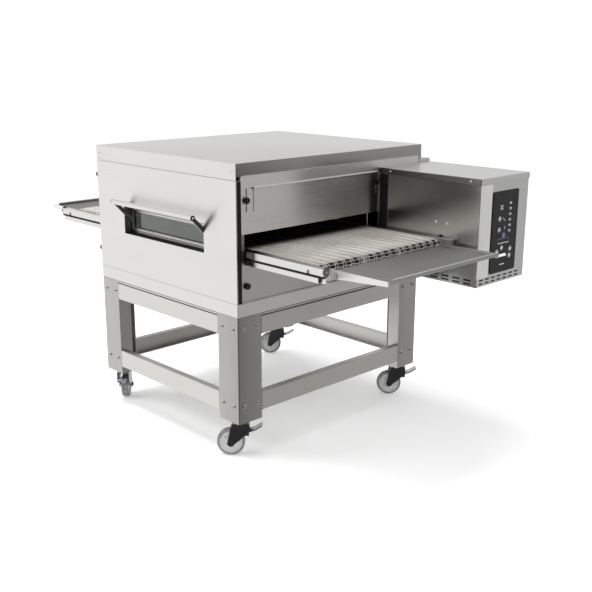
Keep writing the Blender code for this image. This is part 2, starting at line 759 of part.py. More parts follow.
def wire_belt():
    """The belt as a closed band round both shafts."""
    outer_radius = BELT_TOP - SHAFT_Z
    bm = bmesh.new()
    loop = arc((SHAFT_X, SHAFT_Z), outer_radius, 90, -90, 10)
    loop += arc((-SHAFT_X, SHAFT_Z), outer_radius, 270, 90, 10)
    near = [bm.verts.new((x, BELT_Y[0], z)) for x, z in loop]
    edges = [bm.edges.new((a, b)) for a, b in zip(near, near[1:] + near[:1])]
    made = bmesh.ops.extrude_edge_only(bm, edges=edges)["geom"]
    far = [item for item in made if isinstance(item, bmesh.types.BMVert)]
    bmesh.ops.translate(bm, verts=far, vec=(0, BELT_Y[1] - BELT_Y[0], 0))
    bmesh.ops.recalc_face_normals(bm, faces=bm.faces)
    belt = piece("wire_belt", as_mesh("wire_belt", bm), BELT_STEEL)
    thick = belt.modifiers.new("wire", "SOLIDIFY")
    thick.thickness = BELT_THICK
    thick.offset = -1
    thick.use_even_offset = True


def shaft(name, x, far_end):
    """Toothless sprocket discs on a round shaft that runs in the two rails."""
    disc = BELT_TOP - SHAFT_Z - BELT_THICK - 0.0004
    count, thick, inset = 4, 0.014, 0.030
    near_end = RAIL_Y[0] + 0.003
    profile = [(0, far_end), (SHAFT_RADIUS, far_end)]
    pitch = (BELT_Y[1] - BELT_Y[0] - 2 * inset) / (count - 1)
    for number in reversed(range(count)):
        middle = BELT_Y[0] + inset + pitch * number
        profile += [(SHAFT_RADIUS, middle + thick / 2), (disc, middle + thick / 2)]
        profile += [(disc, middle - thick / 2), (SHAFT_RADIUS, middle - thick / 2)]
    profile += [(SHAFT_RADIUS, near_end), (0, near_end)]
    turn_to_y = Matrix.Rotation(math.radians(-90), 4, "X")
    made = piece(name, turned(name, profile, turn_to_y, 12), SATIN_STEEL)
    made.location = (x, 0, SHAFT_Z)


def shelf(name, side):
    """Landing tray with raised edges, hung on the end bar of the conveyor frame."""
    tray = piece(
        name, boxes(name, (span_at(side, *SHELF_X), SHELF_Y, SHELF_Z)), SATIN_STEEL
    )
    flange_start, flange_top = 0.829, 0.228
    outer_lip = (SHELF_X[1] - SHEET, SHELF_X[1])
    flange = [
        (flange_start, flange_top), (flange_start, 0.196), (SHELF_X[1], 0.211),
        (SHELF_X[1], flange_top),
    ]
    outline = [(side * x, z) for x, z in flange]
    near = (SHELF_Y[0], SHELF_Y[0] + SHEET)
    far = (SHELF_Y[1] - SHEET, SHELF_Y[1])
    hem = [(side * (SHELF_X[1] - 0.003), y, 0.2295) for y in (SHELF_Y[0] + 0.026, SHELF_Y[1])]
    weld(
        tray,
        plate("near_flange", [outline], near, ALONG_Y),
        plate("far_flange", [outline], far, ALONG_Y),
        boxes("outer_lip", (span_at(side, *outer_lip), (near[0] + 0.026, far[1]), (0.2185, 0.2300))),
        cylinder("hem", *hem, 0.003, 12),
    )


# --- Control box --------------------------------------------------------------------------------


def control_box():
    """Switchgear box with two rows of cooling slots along the foot of its front and end."""
    walls = (
        (BOX_X[0], BOX_X[1] - SHEET - GAP),
        shrink(BOX_Y, SHEET + GAP),
        (BOX_Z[0], BOX_Z[1] - SHEET - GAP),
    )
    box = soften(piece("control_box", boxes("control_box", walls), BRIGHT_STEEL), 0.0015)
    inside = boxes("box_inside", (
        shrink(walls[0], SHEET), shrink(walls[1], SHEET), (walls[2][0] + SHEET, BOX_Z[1] + OVER),
    ))
    front_y = (walls[1][0] - OVER, walls[1][0] + OVER)
    end_x = (walls[0][1] - OVER, walls[0][1] + OVER)
    slots = []
    for low in (0.078, 0.092):
        slots += [((x, x + 0.034), front_y, (low, low + 0.006))
                  for x in (0.676 + 0.052 * i for i in range(5))]
        slots += [(end_x, (y, y + 0.026), (low, low + 0.006))
                  for y in (0.272 + 0.040 * i for i in range(7))]
    shaft_slot = plate(
        "shaft_slot",
        [[(SHAFT_X + u, v) for u, v in slot_outline(0, (0.212, 0.254), 0.016)]],
        front_y, ALONG_Y,
    )
    cut(box, inside, boxes("vent_slots", *slots), shaft_slot)


def control_box_lid():
    lid = soften(piece(
        "control_box_lid", boxes("control_box_lid", (BOX_X, BOX_Y, (0.463, BOX_Z[1]))), BRIGHT_STEEL
    ), 0.0015)
    cut(lid, boxes("lid_inside", (
        (BOX_X[0] - OVER, BOX_X[1] - SHEET), shrink(BOX_Y, SHEET), (0.400, BOX_Z[1] - SHEET),
    )))


def control_panel():
    face = BOX_X[1] - SHEET
    outline = rounded_rectangle(PANEL_Y, PANEL_Z, 0.008, 4)
    mesh = plate("control_panel", [outline], (face, face + 0.0025), ALONG_X)
    piece("control_panel", mesh, BLACK_PLASTIC)


def gearmotor():
    """Worm gearbox on a foot, with its motor behind and a hollow output for the drive shaft."""
    reach = 0.035
    box_y = (0.275, 0.345)
    bore_end = 0.327
    motor = piece("gearmotor", boxes("gearmotor", (
        (SHAFT_X - reach, SHAFT_X + reach), box_y, (SHAFT_Z - 0.045, SHAFT_Z + 0.060),
    )), ALUMINIUM)
    inner_floor = BOX_Z[0] + SHEET + GAP
    centre_z = SHAFT_Z + 0.010
    weld(
        motor,
        cylinder("motor_body", (SHAFT_X, 0.340, centre_z), (SHAFT_X, 0.480, centre_z), 0.042),
        boxes("post", ((SHAFT_X - 0.025, SHAFT_X + 0.025), (0.290, 0.330), (inner_floor + 0.004, 0.190))),
        boxes("foot", (
            (SHAFT_X - 0.050, SHAFT_X + 0.050), (0.280, 0.360), (inner_floor, inner_floor + 0.006),
        )),
    )
    cut(motor, cylinder(
        "output_bore", (SHAFT_X, box_y[0] - OVER, SHAFT_Z), (SHAFT_X, bore_end, SHAFT_Z),
        SHAFT_RADIUS + 0.0005, 16,
    ))


# --- Baking chamber and hot air -----------------------------------------------------------------


def chamber_liner():
    """Inner tunnel, open at both ends, with the window's hole in front and the fan bay behind."""
    liner = piece(
        "chamber_liner",
        boxes("chamber_liner", ((-LINER_HALF, LINER_HALF), LINER_Y, LINER_Z)),
        DARK_STEEL,
    )
    long = (-LINER_HALF - OVER, LINER_HALF + OVER)
    hole_x = WINDOW_HALF + SHEET + 0.0013
    motor_hole = cylinder(
        "motor_hole", (0, LINER_Y[1] - 0.010, FAN_Z), (0, LINER_Y[1] + OVER, FAN_Z), 0.012
    )
    terminal_z = FAN_Z - HEATER_RADIUS
    terminal_holes = [
        cylinder(
            f"terminal_hole_{word}",
            (x, LINER_Y[1] - 0.010, terminal_z), (x, LINER_Y[1] + OVER, terminal_z), 0.0065, 12,
        )
        for word, x in (("left", -TERMINAL_HALF), ("right", TERMINAL_HALF))
    ]
    cut(
        liner,
        boxes("tunnel", (long, shrink(LINER_Y, SHEET), shrink(LINER_Z, SHEET))),
        boxes("window_hole", (
            (-hole_x, hole_x), (LINER_Y[0] - OVER, LINER_Y[0] + OVER), shrink(WINDOW_Z, -0.0023),
        )),
        motor_hole,
        *terminal_holes,
    )


def air_duct():
    """Plenum behind the belt with a slotted air box above it and another below."""
    reach, depth = 0.340, (-0.466, 0.300)
    upper, lower = (0.352, 0.418), (0.112, 0.178)
    duct = piece(
        "air_duct", boxes("air_duct", ((-reach, reach), depth, (lower[0], upper[1]))), DARK_STEEL
    )
    plenum = 0.262
    wall = 0.0015
    inner_x = (-reach + wall, reach - wall)
    jet_pitch, half_slit = 0.075, 0.004
    jets = [
        ((x - half_slit, x + half_slit), (-0.440, 0.230), (lower[1] - OVER, upper[0] + OVER))
        for x in (jet_pitch * number for number in range(-4, 5))
    ]
    cut(
        duct,
        boxes("belt_space", (
            (-reach - OVER, reach + OVER), (depth[0] - OVER, plenum), (lower[1], upper[0]),
        )),
        boxes("upper_air", (inner_x, (depth[0] + wall, depth[1] - wall), shrink(upper, wall))),
        boxes("lower_air", (inner_x, (depth[0] + wall, depth[1] - wall), shrink(lower, wall))),
        boxes("plenum_air", (
            inner_x, (plenum + wall, depth[1] - wall), (lower[0] + wall, upper[1] - wall),
        )),
        boxes("jets", *jets),
        cylinder("fan_inlet", (0, depth[1] - 0.010, FAN_Z), (0, depth[1] + OVER, FAN_Z), 0.085),
    )


def fan():
    """Centrifugal wheel on its shaft, and the motor that carries it through the rear wall."""
    wheel_y = (0.316, 0.366)
    shaft_end, hub_radius = 0.450, 0.010
    hub = cylinder("fan_wheel", (0, wheel_y[0], FAN_Z), (0, shaft_end, FAN_Z), hub_radius, 16)
    wheel = piece("fan_wheel", hub, SATIN_STEEL, axis=(0, 0, FAN_Z))
    back = cylinder("back_disc", (0, wheel_y[1] - 0.003, FAN_Z), (0, wheel_y[1], FAN_Z), FAN_RADIUS, 24)
    blades = []
    for number in range(8):
        blade = boxes("blade", ((0.066, 0.112), (wheel_y[0], wheel_y[1] - 0.001), (-0.001, 0.001)))
        blade.transform(Matrix.Rotation(math.radians(30), 4, "Y"))
        blade.transform(Matrix.Translation((0.022, 0, 0.046)))
        blade.transform(Matrix.Rotation(math.radians(45 * number), 4, "Y"))
        blade.transform(Matrix.Translation((0, 0, FAN_Z)))
        blades.append(blade)
    weld(wheel, back, *blades)
    behind = LINER_Y[1] + GAP
    plate_disc = cylinder("fan_motor", (0, behind, FAN_Z), (0, behind + 0.006, FAN_Z), 0.085)
    motor = piece("fan_motor", plate_disc, ALUMINIUM)
    weld(motor, cylinder("motor_can", (0, behind + 0.004, FAN_Z), (0, 0.550, FAN_Z), 0.058))
    bore_end = shaft_end + 0.001
    cut(motor, cylinder(
        "shaft_bore", (0, behind - OVER, FAN_Z), (0, bore_end, FAN_Z), hub_radius + 0.0006, 16,
    ))


def heater():
    """Round heating element about the fan, with its two terminals through the rear wall."""
    radius, tube = HEATER_RADIUS, 0.005
    terminal_y, bend_y, ring_y = LINER_Y[1] + 0.050, 0.350, 0.341
    half_gap = TERMINAL_HALF
    points = [(-half_gap, terminal_y, FAN_Z - radius), (-half_gap, bend_y, FAN_Z - radius)]
    gap_angle = 12
    ring = arc((0, FAN_Z), radius, -90 - gap_angle, -450 + gap_angle, 24)
    points += [(x, ring_y, z) for x, z in ring]
    points += [(half_gap, bend_y, FAN_Z - radius), (half_gap, terminal_y, FAN_Z - radius)]
    curve = bpy.data.curves.new("heater", "CURVE")
    curve.dimensions = "3D"
    curve.bevel_depth = tube
    curve.bevel_resolution = 2
    curve.use_fill_caps = True
    spline = curve.splines.new("POLY")
    spline.points.add(len(points) - 1)
    for point, place in zip(spline.points, points):
        point.co = (*place, 1)
    piece("heater", finished(draft("heater_route", curve)), DARK_STEEL)


# --- Build --------------------------------------------------------------------------------------

stand()
castors()
base_pan()
top_cover()
front_panel()
rear_casing()
for end_name, end_side in (("exit", 1), ("entry", -1)):
    end_frame(f"end_frame_{end_name}", end_side)
    shutters(end_name, end_side)
    knobs(end_name, end_side)
    shelf(f"{end_name}_shelf", end_side)
hatch()
hatch_handle()
conveyor_frame()
wire_belt()
shaft("drive_shaft", SHAFT_X, 0.325)
shaft("idler_shaft", -SHAFT_X, RAIL_Y[1] + RAIL_WIDTH - 0.003)
control_box()
control_box_lid()
control_panel()
gearmotor()
chamber_liner()
air_duct()
fan()
heater()
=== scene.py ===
"""Looks of the conveyor pizza oven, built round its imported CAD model.

Metres, in the model's own frame: Z = 0 is the floor, the belt carries the pizzas towards +X,
and the front with the window hatch faces -Y.
"""

import json
import math

import bmesh
import bpy
from mathutils import Matrix, Vector


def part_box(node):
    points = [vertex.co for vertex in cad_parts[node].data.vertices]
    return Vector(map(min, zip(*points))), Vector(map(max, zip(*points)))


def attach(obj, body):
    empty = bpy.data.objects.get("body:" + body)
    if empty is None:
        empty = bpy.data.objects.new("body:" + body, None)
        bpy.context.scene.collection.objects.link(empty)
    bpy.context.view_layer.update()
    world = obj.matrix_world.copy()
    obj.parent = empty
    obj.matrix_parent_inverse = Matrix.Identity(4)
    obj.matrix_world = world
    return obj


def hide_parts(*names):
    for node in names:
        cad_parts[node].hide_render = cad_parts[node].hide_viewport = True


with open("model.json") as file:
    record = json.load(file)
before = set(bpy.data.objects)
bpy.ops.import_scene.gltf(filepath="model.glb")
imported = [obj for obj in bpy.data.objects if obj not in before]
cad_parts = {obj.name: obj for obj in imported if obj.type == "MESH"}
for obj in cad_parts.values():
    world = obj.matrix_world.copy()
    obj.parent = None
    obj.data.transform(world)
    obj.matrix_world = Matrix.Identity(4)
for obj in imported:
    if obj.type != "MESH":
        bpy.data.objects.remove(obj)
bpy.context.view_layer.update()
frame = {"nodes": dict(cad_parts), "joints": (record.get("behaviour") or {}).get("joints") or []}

JOINTS = {joint["name"]: joint for joint in frame["joints"]}
CORNERS = ("front_right", "rear_right", "rear_left", "front_left")
ENDS = (("exit", 1), ("entry", -1))
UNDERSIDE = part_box("base_pan")[0].z  # of the oven body, on top of the stand
SINK = 0.0003  # how far a fitted piece reaches into the sheet that holds it
SMOOTH_BELOW = math.radians(35)  # edges flatter than this are shaded smooth


# --- Studio -------------------------------------------------------------------------------------


def camera():
    """Front right three-quarter view, from a little above the oven's top."""
    azimuth, elevation, roll = (math.radians(angle) for angle in (45.96, 15.16, 0.155))
    data = bpy.data.cameras.new("camera")
    data.lens = 54.69
    data.sensor_width = 36
    made = bpy.data.objects.new("camera", data)
    bpy.context.scene.collection.objects.link(made)
    made.location = (2.8558, -2.5503, 1.5056)
    towards = Vector((
        -math.sin(azimuth) * math.cos(elevation),
        math.cos(azimuth) * math.cos(elevation),
        -math.sin(elevation),
    ))
    level = towards.to_track_quat("-Z", "Y").to_matrix()
    made.rotation_euler = (level @ Matrix.Rotation(roll, 3, "Z")).to_euler()
    bpy.context.scene.camera = made


def add_node(tree, kind, inputs=None, **settings):
    """Adds a node. An input is a value, or the socket that it is linked to."""
    made = tree.nodes.new(kind)
    for name, value in settings.items():
        setattr(made, name, value)
    for name, value in (inputs or {}).items():
        if isinstance(value, bpy.types.NodeSocket):
            tree.links.new(value, made.inputs[name])
        else:
            made.inputs[name].default_value = value
    return made


LOBES = (  # a direction, the cosines where the change to it starts and ends, and the gain there
    ((-0.72, -0.62, -0.30), 0.30, 0.95, 0.30),
    ((0.85, 0.45, -0.10), -0.20, 0.80, -0.38),
    ((0.75, -0.62, -0.20), 0.15, 0.75, -0.95),
)


def surroundings():
    """A pale room, brighter to the front left, dimmer past the exit end and dark behind the camera."""
    world = bpy.data.worlds.new("studio")
    world.use_nodes = True
    tree = world.node_tree
    direction = add_node(tree, "ShaderNodeTexCoord").outputs["Generated"]
    level = None
    for towards, first, last, gain in LOBES:
        cosine = add_node(
            tree, "ShaderNodeVectorMath", {0: direction, 1: towards}, operation="DOT_PRODUCT",
        )
        change = add_node(tree, "ShaderNodeMapRange", {
            "Value": cosine.outputs["Value"], "From Min": first, "From Max": last,
            "To Min": 1.0, "To Max": 1.0 + gain,
        }, interpolation_type="SMOOTHSTEP").outputs["Result"]
        if level is not None:
            change = add_node(
                tree, "ShaderNodeMath", {0: level, 1: change}, operation="MULTIPLY",
            ).outputs["Value"]
        level = change
    background = tree.nodes["Background"]
    tree.links.new(level, background.inputs["Color"])
    background.inputs["Strength"].default_value = 0.82
    bpy.context.scene.world = world


def area_light(name, place, target, size, power):
    data = bpy.data.lights.new(name, "AREA")
    data.shape = "DISK"
    data.size = size
    data.energy = power
    made = bpy.data.objects.new(name, data)
    bpy.context.scene.collection.objects.link(made)
    made.location = place
    made.rotation_euler = (Vector(target) - Vector(place)).to_track_quat("-Z", "Y").to_euler()
    made.visible_glossy = False  # the sheets mirror the room only


def studio():
    """Pale floor that sweeps up into a wall far behind, under two soft lights."""
    reach, rise, height = 7.0, 2.0, 7.0  # where the sweep starts, its radius, and the wall's height
    steps, sweep_steps = 96, 8
    profile = [(0.0, 0.0), (reach, 0.0)]
    for step in range(1, sweep_steps + 1):
        angle = math.pi / 2 * step / sweep_steps
        profile.append((reach + rise * math.sin(angle), rise * (1 - math.cos(angle))))
    profile.append((reach + rise, height))
    mesh = bmesh.new()
    turn(mesh, profile, steps)
    floor = finished("studio_floor", mesh, [floor_paint()])
    floor.visible_glossy = False
    area_light("overhead", (-0.5, -0.3, 4.2), (0, 0, 0.4), size=3.2, power=170)
    area_light("front_fill", (-2.4, -3.4, 2.6), (0, 0, 0.8), size=2.2, power=60)
    surroundings()
    bpy.context.scene.view_settings.view_transform = "Standard"


# --- Mesh tools ---------------------------------------------------------------------------------


def finished(name, mesh, materials):
    """An object made of a bmesh, shaded smooth across its flatter edges."""
    bmesh.ops.remove_doubles(mesh, verts=mesh.verts, dist=1e-6)
    bmesh.ops.recalc_face_normals(mesh, faces=mesh.faces)
    data = bpy.data.meshes.new(name)
    for face in mesh.faces:
        face.smooth = True
    for edge in mesh.edges:
        edge.smooth = edge.calc_face_angle(math.pi) < SMOOTH_BELOW
    mesh.to_mesh(data)
    mesh.free()
    for material in materials:
        data.materials.append(material)
    made = bpy.data.objects.new(name, data)
    bpy.context.scene.collection.objects.link(made)
    return made


def fitted(name, mesh, materials, body, replaces=()):
    """A piece that rides on a CAD body, with the finishes it is given."""
    made = finished(name, mesh, materials)
    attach(made, body)
    if replaces:
        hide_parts(*replaces)
    return made


def turn(mesh, profile, steps, place=None, material=0, flutes=0, depth=0.0):
    """Turns (radius, height) points about Z, fluted if asked, then moves the result to a place."""
    place = place or Matrix.Identity(4)
    rings = []
    for radius, height in profile:
        count = steps if radius > 1e-9 else 1
        ring = []
        for step in range(count):
            angle = math.tau * step / count
            out = radius - depth * abs(math.sin(flutes * angle / 2)) ** 3
            spot = Vector((out * math.cos(angle), out * math.sin(angle), height))
            ring.append(mesh.verts.new(place @ spot))
        rings.append(ring)
    for low, high in zip(rings, rings[1:]):
        for step in range(steps):
            after = (step + 1) % steps
            corners = [low[step % len(low)], low[after % len(low)],
                       high[after % len(high)], high[step % len(high)]]
            unique = list(dict.fromkeys(corners))
            if len(unique) > 2:
                mesh.faces.new(unique).material_index = material


def facing(point, direction):
    """Matrix that stands +Z along a direction, at a point."""
    turned = Vector(direction).to_track_quat("Z", "Y").to_matrix().to_4x4()
    return Matrix.Translation(point) @ turned


def middle_of(node):
    """Centre of a CAD node's box."""
    low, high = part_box(node)
    return (low + high) / 2


def outer_x(node, side):
    """Where a CAD node ends along X, towards the exit (1) or the entry (-1)."""
    low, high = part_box(node)
    return high.x if side > 0 else low.x


def block(mesh, low, high, rounding=0.0, material=0, place=None):
    """Box between two corners, with its edges rounded."""
    size = [b - a for a, b in zip(low, high)]
    middle = Vector([(a + b) / 2 for a, b in zip(low, high)])
    made = bmesh.ops.create_cube(mesh, size=1.0)["verts"]
    for vert in made:
        vert.co = middle + Vector([s * c for s, c in zip(size, vert.co)])
    faces = {face for vert in made for face in vert.link_faces}
    if rounding:
        edges = {edge for face in faces for edge in face.edges}
        result = bmesh.ops.bevel(
            mesh, geom=list(edges), offset=rounding, segments=2, affect="EDGES", profile=0.5,
        )
        made = [v for v in result["verts"] if v.is_valid]
        faces = {face for vert in made for face in vert.link_faces}
    for face in faces:
        face.material_index = material
    if place is not None:
        verts = {vert for face in faces for vert in face.verts}
        bmesh.ops.transform(mesh, matrix=place, verts=list(verts))


def prism(mesh, outline, low, high, place):
    """Flat outline, (x, y) points, extruded from one height to another."""
    rings = [[mesh.verts.new(place @ Vector((x, y, z))) for x, y in outline] for z in (low, high)]
    mesh.faces.new(rings[0][::-1])
    mesh.faces.new(rings[1])
    count = len(outline)
    for step in range(count):
        after = (step + 1) % count
        mesh.faces.new((rings[0][step], rings[0][after], rings[1][after], rings[1][step]))


def arc(radius, steps, middle, start, sweep):
    """Points along an arc of a circle, with both of its ends."""
    angles = [start + sweep * step / steps for step in range(steps + 1)]
    return [(middle[0] + radius * math.cos(a), middle[1] + radius * math.sin(a)) for a in angles]


def tube(mesh, points, radius, sides):
    """Round wire of one thickness along a list of points, with closed ends."""
    points = [Vector(point) for point in points]
    before = None
    rings = []
    for index, point in enumerate(points):
        ahead = points[min(index + 1, len(points) - 1)] - points[max(index - 1, 0)]
        ahead.normalize()
        if before is None:
            across = ahead.orthogonal().normalized()
        else:
            across = (before - ahead * before.dot(ahead)).normalized()
        before = across
        other = ahead.cross(across)
        ring = []
        for side in range(sides):
            angle = math.tau * side / sides
            offset = across * math.cos(angle) + other * math.sin(angle)
            ring.append(mesh.verts.new(point + radius * offset))
        rings.append(ring)
    for low, high in zip(rings, rings[1:]):
        for side in range(sides):
            after = (side + 1) % sides
            mesh.faces.new((low[side], low[after], high[after], high[side]))
    mesh.faces.new(rings[0][::-1])
    mesh.faces.new(rings[-1])


def beam(mesh, start, end, radius, steps=24, material=0):
    """Round bar with chamfered ends."""
    start, end = Vector(start), Vector(end)
    length = (end - start).length
    chamfer = min(0.0008, radius * 0.3)
    profile = [(0.0, 0.0), (radius - chamfer, 0.0), (radius, chamfer), (radius, length - chamfer),
               (radius - chamfer, length), (0.0, length)]
    turn(mesh, profile, steps, facing(start, end - start), material)


def crossbar(mesh, x, z, ends, radius, steps=24, material=0):
    """Round bar along Y, at one x and z."""
    beam(mesh, (x, ends[0], z), (x, ends[1], z), radius, steps, material)


# --- Materials ----------------------------------------------------------------------------------


def tone(red, green, blue):
    """Linear colour of three 8-bit values."""
    return tuple((value / 255) ** 2.2 for value in (red, green, blue)) + (1.0,)


def scaled(colour, factor):
    return tuple(min(1.0, value * factor) for value in colour[:3]) + (1.0,)


class Finish:
    """A material with its tree, and short forms for the nodes that the finishes share."""

    def __init__(self, name):
        self.material = bpy.data.materials.new(name)
        self.material.use_nodes = True
        self.tree = self.material.node_tree
        self.shader = self.tree.nodes["Principled BSDF"]
        self.place = self.add("ShaderNodeTexCoord").outputs["Object"]

    def add(self, kind, inputs=None, **settings):
        return add_node(self.tree, kind, inputs, **settings)

    def stretched(self, factors):
        return self.add("ShaderNodeMapping", {"Vector": self.place, "Scale": factors}).outputs["Vector"]

    def noise(self, scale, detail, roughness=0.55, source=None):
        made = self.add("ShaderNodeTexNoise", {
            "Vector": source or self.place, "Scale": scale, "Detail": detail,
            "Roughness": roughness,
        })
        return made.outputs["Fac"]

    def between(self, value, low, high, to_low=0.0, to_high=1.0):
        made = self.add("ShaderNodeMapRange", {
            "Value": value, "From Min": low, "From Max": high,
            "To Min": to_low, "To Max": to_high,
        })
        return made.outputs["Result"]

    def sum(self, first, second, weight):
        """The first value plus the weighted second."""
        made = self.add("ShaderNodeMath", {0: second, 1: weight, 2: first}, operation="MULTIPLY_ADD")
        return made.outputs["Value"]

    def blend(self, share, first, second):
        made = self.add("ShaderNodeMix", {"Factor": share, "A": first, "B": second}, data_type="RGBA")
        return made.outputs["Result"]

    def set(self, **sockets):
        for name, value in sockets.items():
            socket = self.shader.inputs[name.replace("_", " ")]
            if isinstance(value, bpy.types.NodeSocket):
                self.tree.links.new(value, socket)
            else:
                socket.default_value = value

    def relief(self, height, distance):
        made = self.add("ShaderNodeBump", {"Height": height, "Distance": distance, "Strength": 1.0})
        self.set(Normal=made.outputs["Normal"])


GRAIN = {  # how far the brushed grain is stretched along each axis
    "X": (5.0, 420.0, 420.0),
    "Y": (420.0, 5.0, 420.0),
    "Z": (420.0, 420.0, 5.0),
}
AXES = {"X": (1.0, 0.0, 0.0), "Y": (0.0, 1.0, 0.0), "Z": (0.0, 0.0, 1.0)}
ON_ENDS = {"X": "Y", "Y": "X", "Z": "X"}  # the grain of the faces that the first grain points out of


def grain_directions(finish, along):
    """Grain height of a sheet, and the direction across its grain, for brushing along an axis."""
    normal = finish.add("ShaderNodeTexCoord").outputs["Normal"]
    parts = finish.add("ShaderNodeSeparateXYZ", {"Vector": normal})
    size = finish.add("ShaderNodeMath", {0: parts.outputs[along]}, operation="ABSOLUTE")
    is_end = finish.between(size.outputs["Value"], 0.69, 0.71)
    other = ON_ENDS[along]
    heights = [finish.noise(1.0, 5.0, 0.65, finish.stretched(GRAIN[axis])) for axis in (along, other)]
    height = finish.add("ShaderNodeMix", {"Factor": is_end, "A": heights[0], "B": heights[1]})
    grain = finish.add("ShaderNodeMix", {
        "Factor": is_end, "A": AXES[along], "B": AXES[other],
    }, data_type="VECTOR")
    across = finish.add(
        "ShaderNodeVectorMath", {0: normal, 1: grain.outputs["Result"]}, operation="CROSS_PRODUCT",
    )
    world = finish.add(
        "ShaderNodeVectorTransform", {"Vector": across.outputs["Vector"]},
        vector_type="VECTOR", convert_from="OBJECT", convert_to="WORLD",
    )
    return height.outputs["Result"], world.outputs["Vector"], is_end


def brushed_steel(name, colour, roughness, along="X", grain=1.0, ends=1.0, metal=1.0):
    """Stainless sheet brushed along an axis. It mirrors sharply along its grain and softly across.

    grain is the strength of the brushing. ends scales the colour of the faces that the grain points
    out of, as painted shade below 1 and painted light above 1, and metal is the metallic share;
    below 1 the pale base colour shows as painted brightness.
    """
    finish = Finish(name)
    fine, across, is_end = grain_directions(finish, along)
    broad = finish.noise(7.0, 4.0, 0.6, finish.stretched([math.sqrt(s) / 9 for s in GRAIN[along]]))
    cloud = finish.noise(2.3, 2.0)
    streaks = finish.between(fine, 0.30, 0.70)
    uneven = finish.sum(finish.between(broad, 0.3, 0.7, 0.0, 0.5), cloud, 0.7)
    light = finish.blend(streaks, scaled(colour, 1 - 0.07 * grain), scaled(colour, 1 + 0.05 * grain))
    dull = finish.blend(uneven, scaled(colour, 0.92), scaled(colour, 1.04))
    skin = finish.blend(0.5, light, dull)
    if ends != 1.0:
        # Painted light and shade on the end faces: ends below 1 darkens them, above 1 lightens them.
        painted_end_shading = finish.blend(streaks, scaled(colour, 0.96 * ends), scaled(colour, 1.04 * ends))
        skin = finish.blend(is_end, skin, painted_end_shading)
    finish.set(Base_Color=skin, Metallic=metal, Anisotropic=0.88, Tangent=across)
    polish = finish.between(streaks, 0.0, 1.0, roughness - 0.04 * grain, roughness + 0.06 * grain)
    finish.set(Roughness=finish.sum(polish, uneven, 0.05))
    finish.relief(fine, 0.00006 * grain)
    return finish.material


def plated_steel(name, colour, roughness, metal=1.0):
    """Plated steel with a faint spangle and a few rubbed spots."""
    finish = Finish(name)
    cells = finish.add("ShaderNodeTexVoronoi", {"Vector": finish.place, "Scale": 260.0})
    spangle = cells.outputs["Distance"]
    rub = finish.noise(55.0, 4.0)
    mottle = finish.sum(finish.between(spangle, 0.0, 0.9, 0.0, 0.4), rub, 0.6)
    skin = finish.blend(mottle, scaled(colour, 0.84), scaled(colour, 1.08))
    finish.set(Base_Color=skin, Metallic=metal)
    finish.set(Roughness=finish.between(rub, 0.3, 0.7, roughness - 0.07, roughness + 0.09))
    finish.relief(mottle, 0.00015)
    return finish.material


def oven_steel(name, colour, roughness):
    """Steel inside the chamber, dulled and straw-coloured in patches by the heat."""
    finish = Finish(name)
    heat = finish.noise(6.0, 5.0, 0.6)
    grain = finish.noise(1.0, 4.0, 0.6, finish.stretched(GRAIN["X"]))
    straw = (colour[0] * 1.25, colour[1] * 1.02, colour[2] * 0.74, 1.0)
    mix = finish.between(finish.sum(heat, grain, 0.25), 0.45, 0.75)
    finish.set(Base_Color=finish.blend(mix, colour, straw), Metallic=1.0)
    finish.set(Roughness=finish.between(heat, 0.3, 0.7, roughness - 0.1, roughness + 0.12))
    finish.relief(grain, 0.0002)
    return finish.material


def belt_steel():
    """Drawn stainless wire, slightly browned by use, with painted shade that darkens it where it lies
    inside the tunnel.
    """
    finish = Finish("belt_wire")
    use = finish.noise(9.0, 5.0, 0.6)
    drawn = finish.noise(700.0, 3.0)
    share = finish.between(finish.sum(use, drawn, 0.35), 0.45, 0.85)
    parts = finish.add("ShaderNodeSeparateXYZ", {"Vector": finish.place})
    out = finish.add("ShaderNodeMath", {0: parts.outputs["X"]}, operation="ABSOLUTE")
    # Painted shade: the wire is drawn dark inside the tunnel and blends to clean wire between |x| 0.395 and
    # 0.445.
    tunnel_shade = finish.between(out.outputs["Value"], 0.395, 0.445)
    clean = finish.blend(share, tone(216, 213, 208), tone(188, 183, 176))
    finish.set(Base_Color=finish.blend(tunnel_shade, tone(40, 36, 33), clean), Metallic=0.35)
    finish.set(Roughness=finish.between(use, 0.3, 0.7, 0.26, 0.42))
    finish.relief(drawn, 0.0001)
    return finish.material


def cast_metal():
    """Sand-cast aluminium of the motor housings."""
    finish = Finish("cast_aluminium")
    sand = finish.noise(900.0, 4.0, 0.7)
    patches = finish.noise(30.0, 3.0)
    skin = finish.blend(patches, tone(168, 170, 173), tone(196, 197, 198))
    finish.set(Base_Color=skin, Metallic=0.9)
    finish.set(Roughness=finish.between(sand, 0.3, 0.7, 0.42, 0.62))
    finish.relief(sand, 0.0006)
    return finish.material


def moulded_plastic(name, dark, light, roughness, grain_depth):
    finish = Finish(name)
    grain = finish.noise(1300.0, 4.0, 0.7)
    handling = finish.noise(40.0, 3.0)
    finish.set(Base_Color=finish.blend(handling, dark, light))
    finish.set(Roughness=finish.between(handling, 0.3, 0.7, roughness - 0.07, roughness + 0.08))
    finish.relief(grain, grain_depth)
    return finish.material


def rubber_tyre():
    """Grey non-marking tread, dusty in patches."""
    finish = Finish("castor_tyre")
    dust = finish.noise(70.0, 5.0, 0.65)
    pores = finish.noise(1500.0, 3.0)
    share = finish.between(dust, 0.35, 0.70)
    finish.set(Base_Color=finish.blend(share, tone(104, 104, 106), tone(150, 149, 147)))
    finish.set(Roughness=finish.between(dust, 0.3, 0.7, 0.62, 0.82))
    finish.relief(pores, 0.0003)
    return finish.material


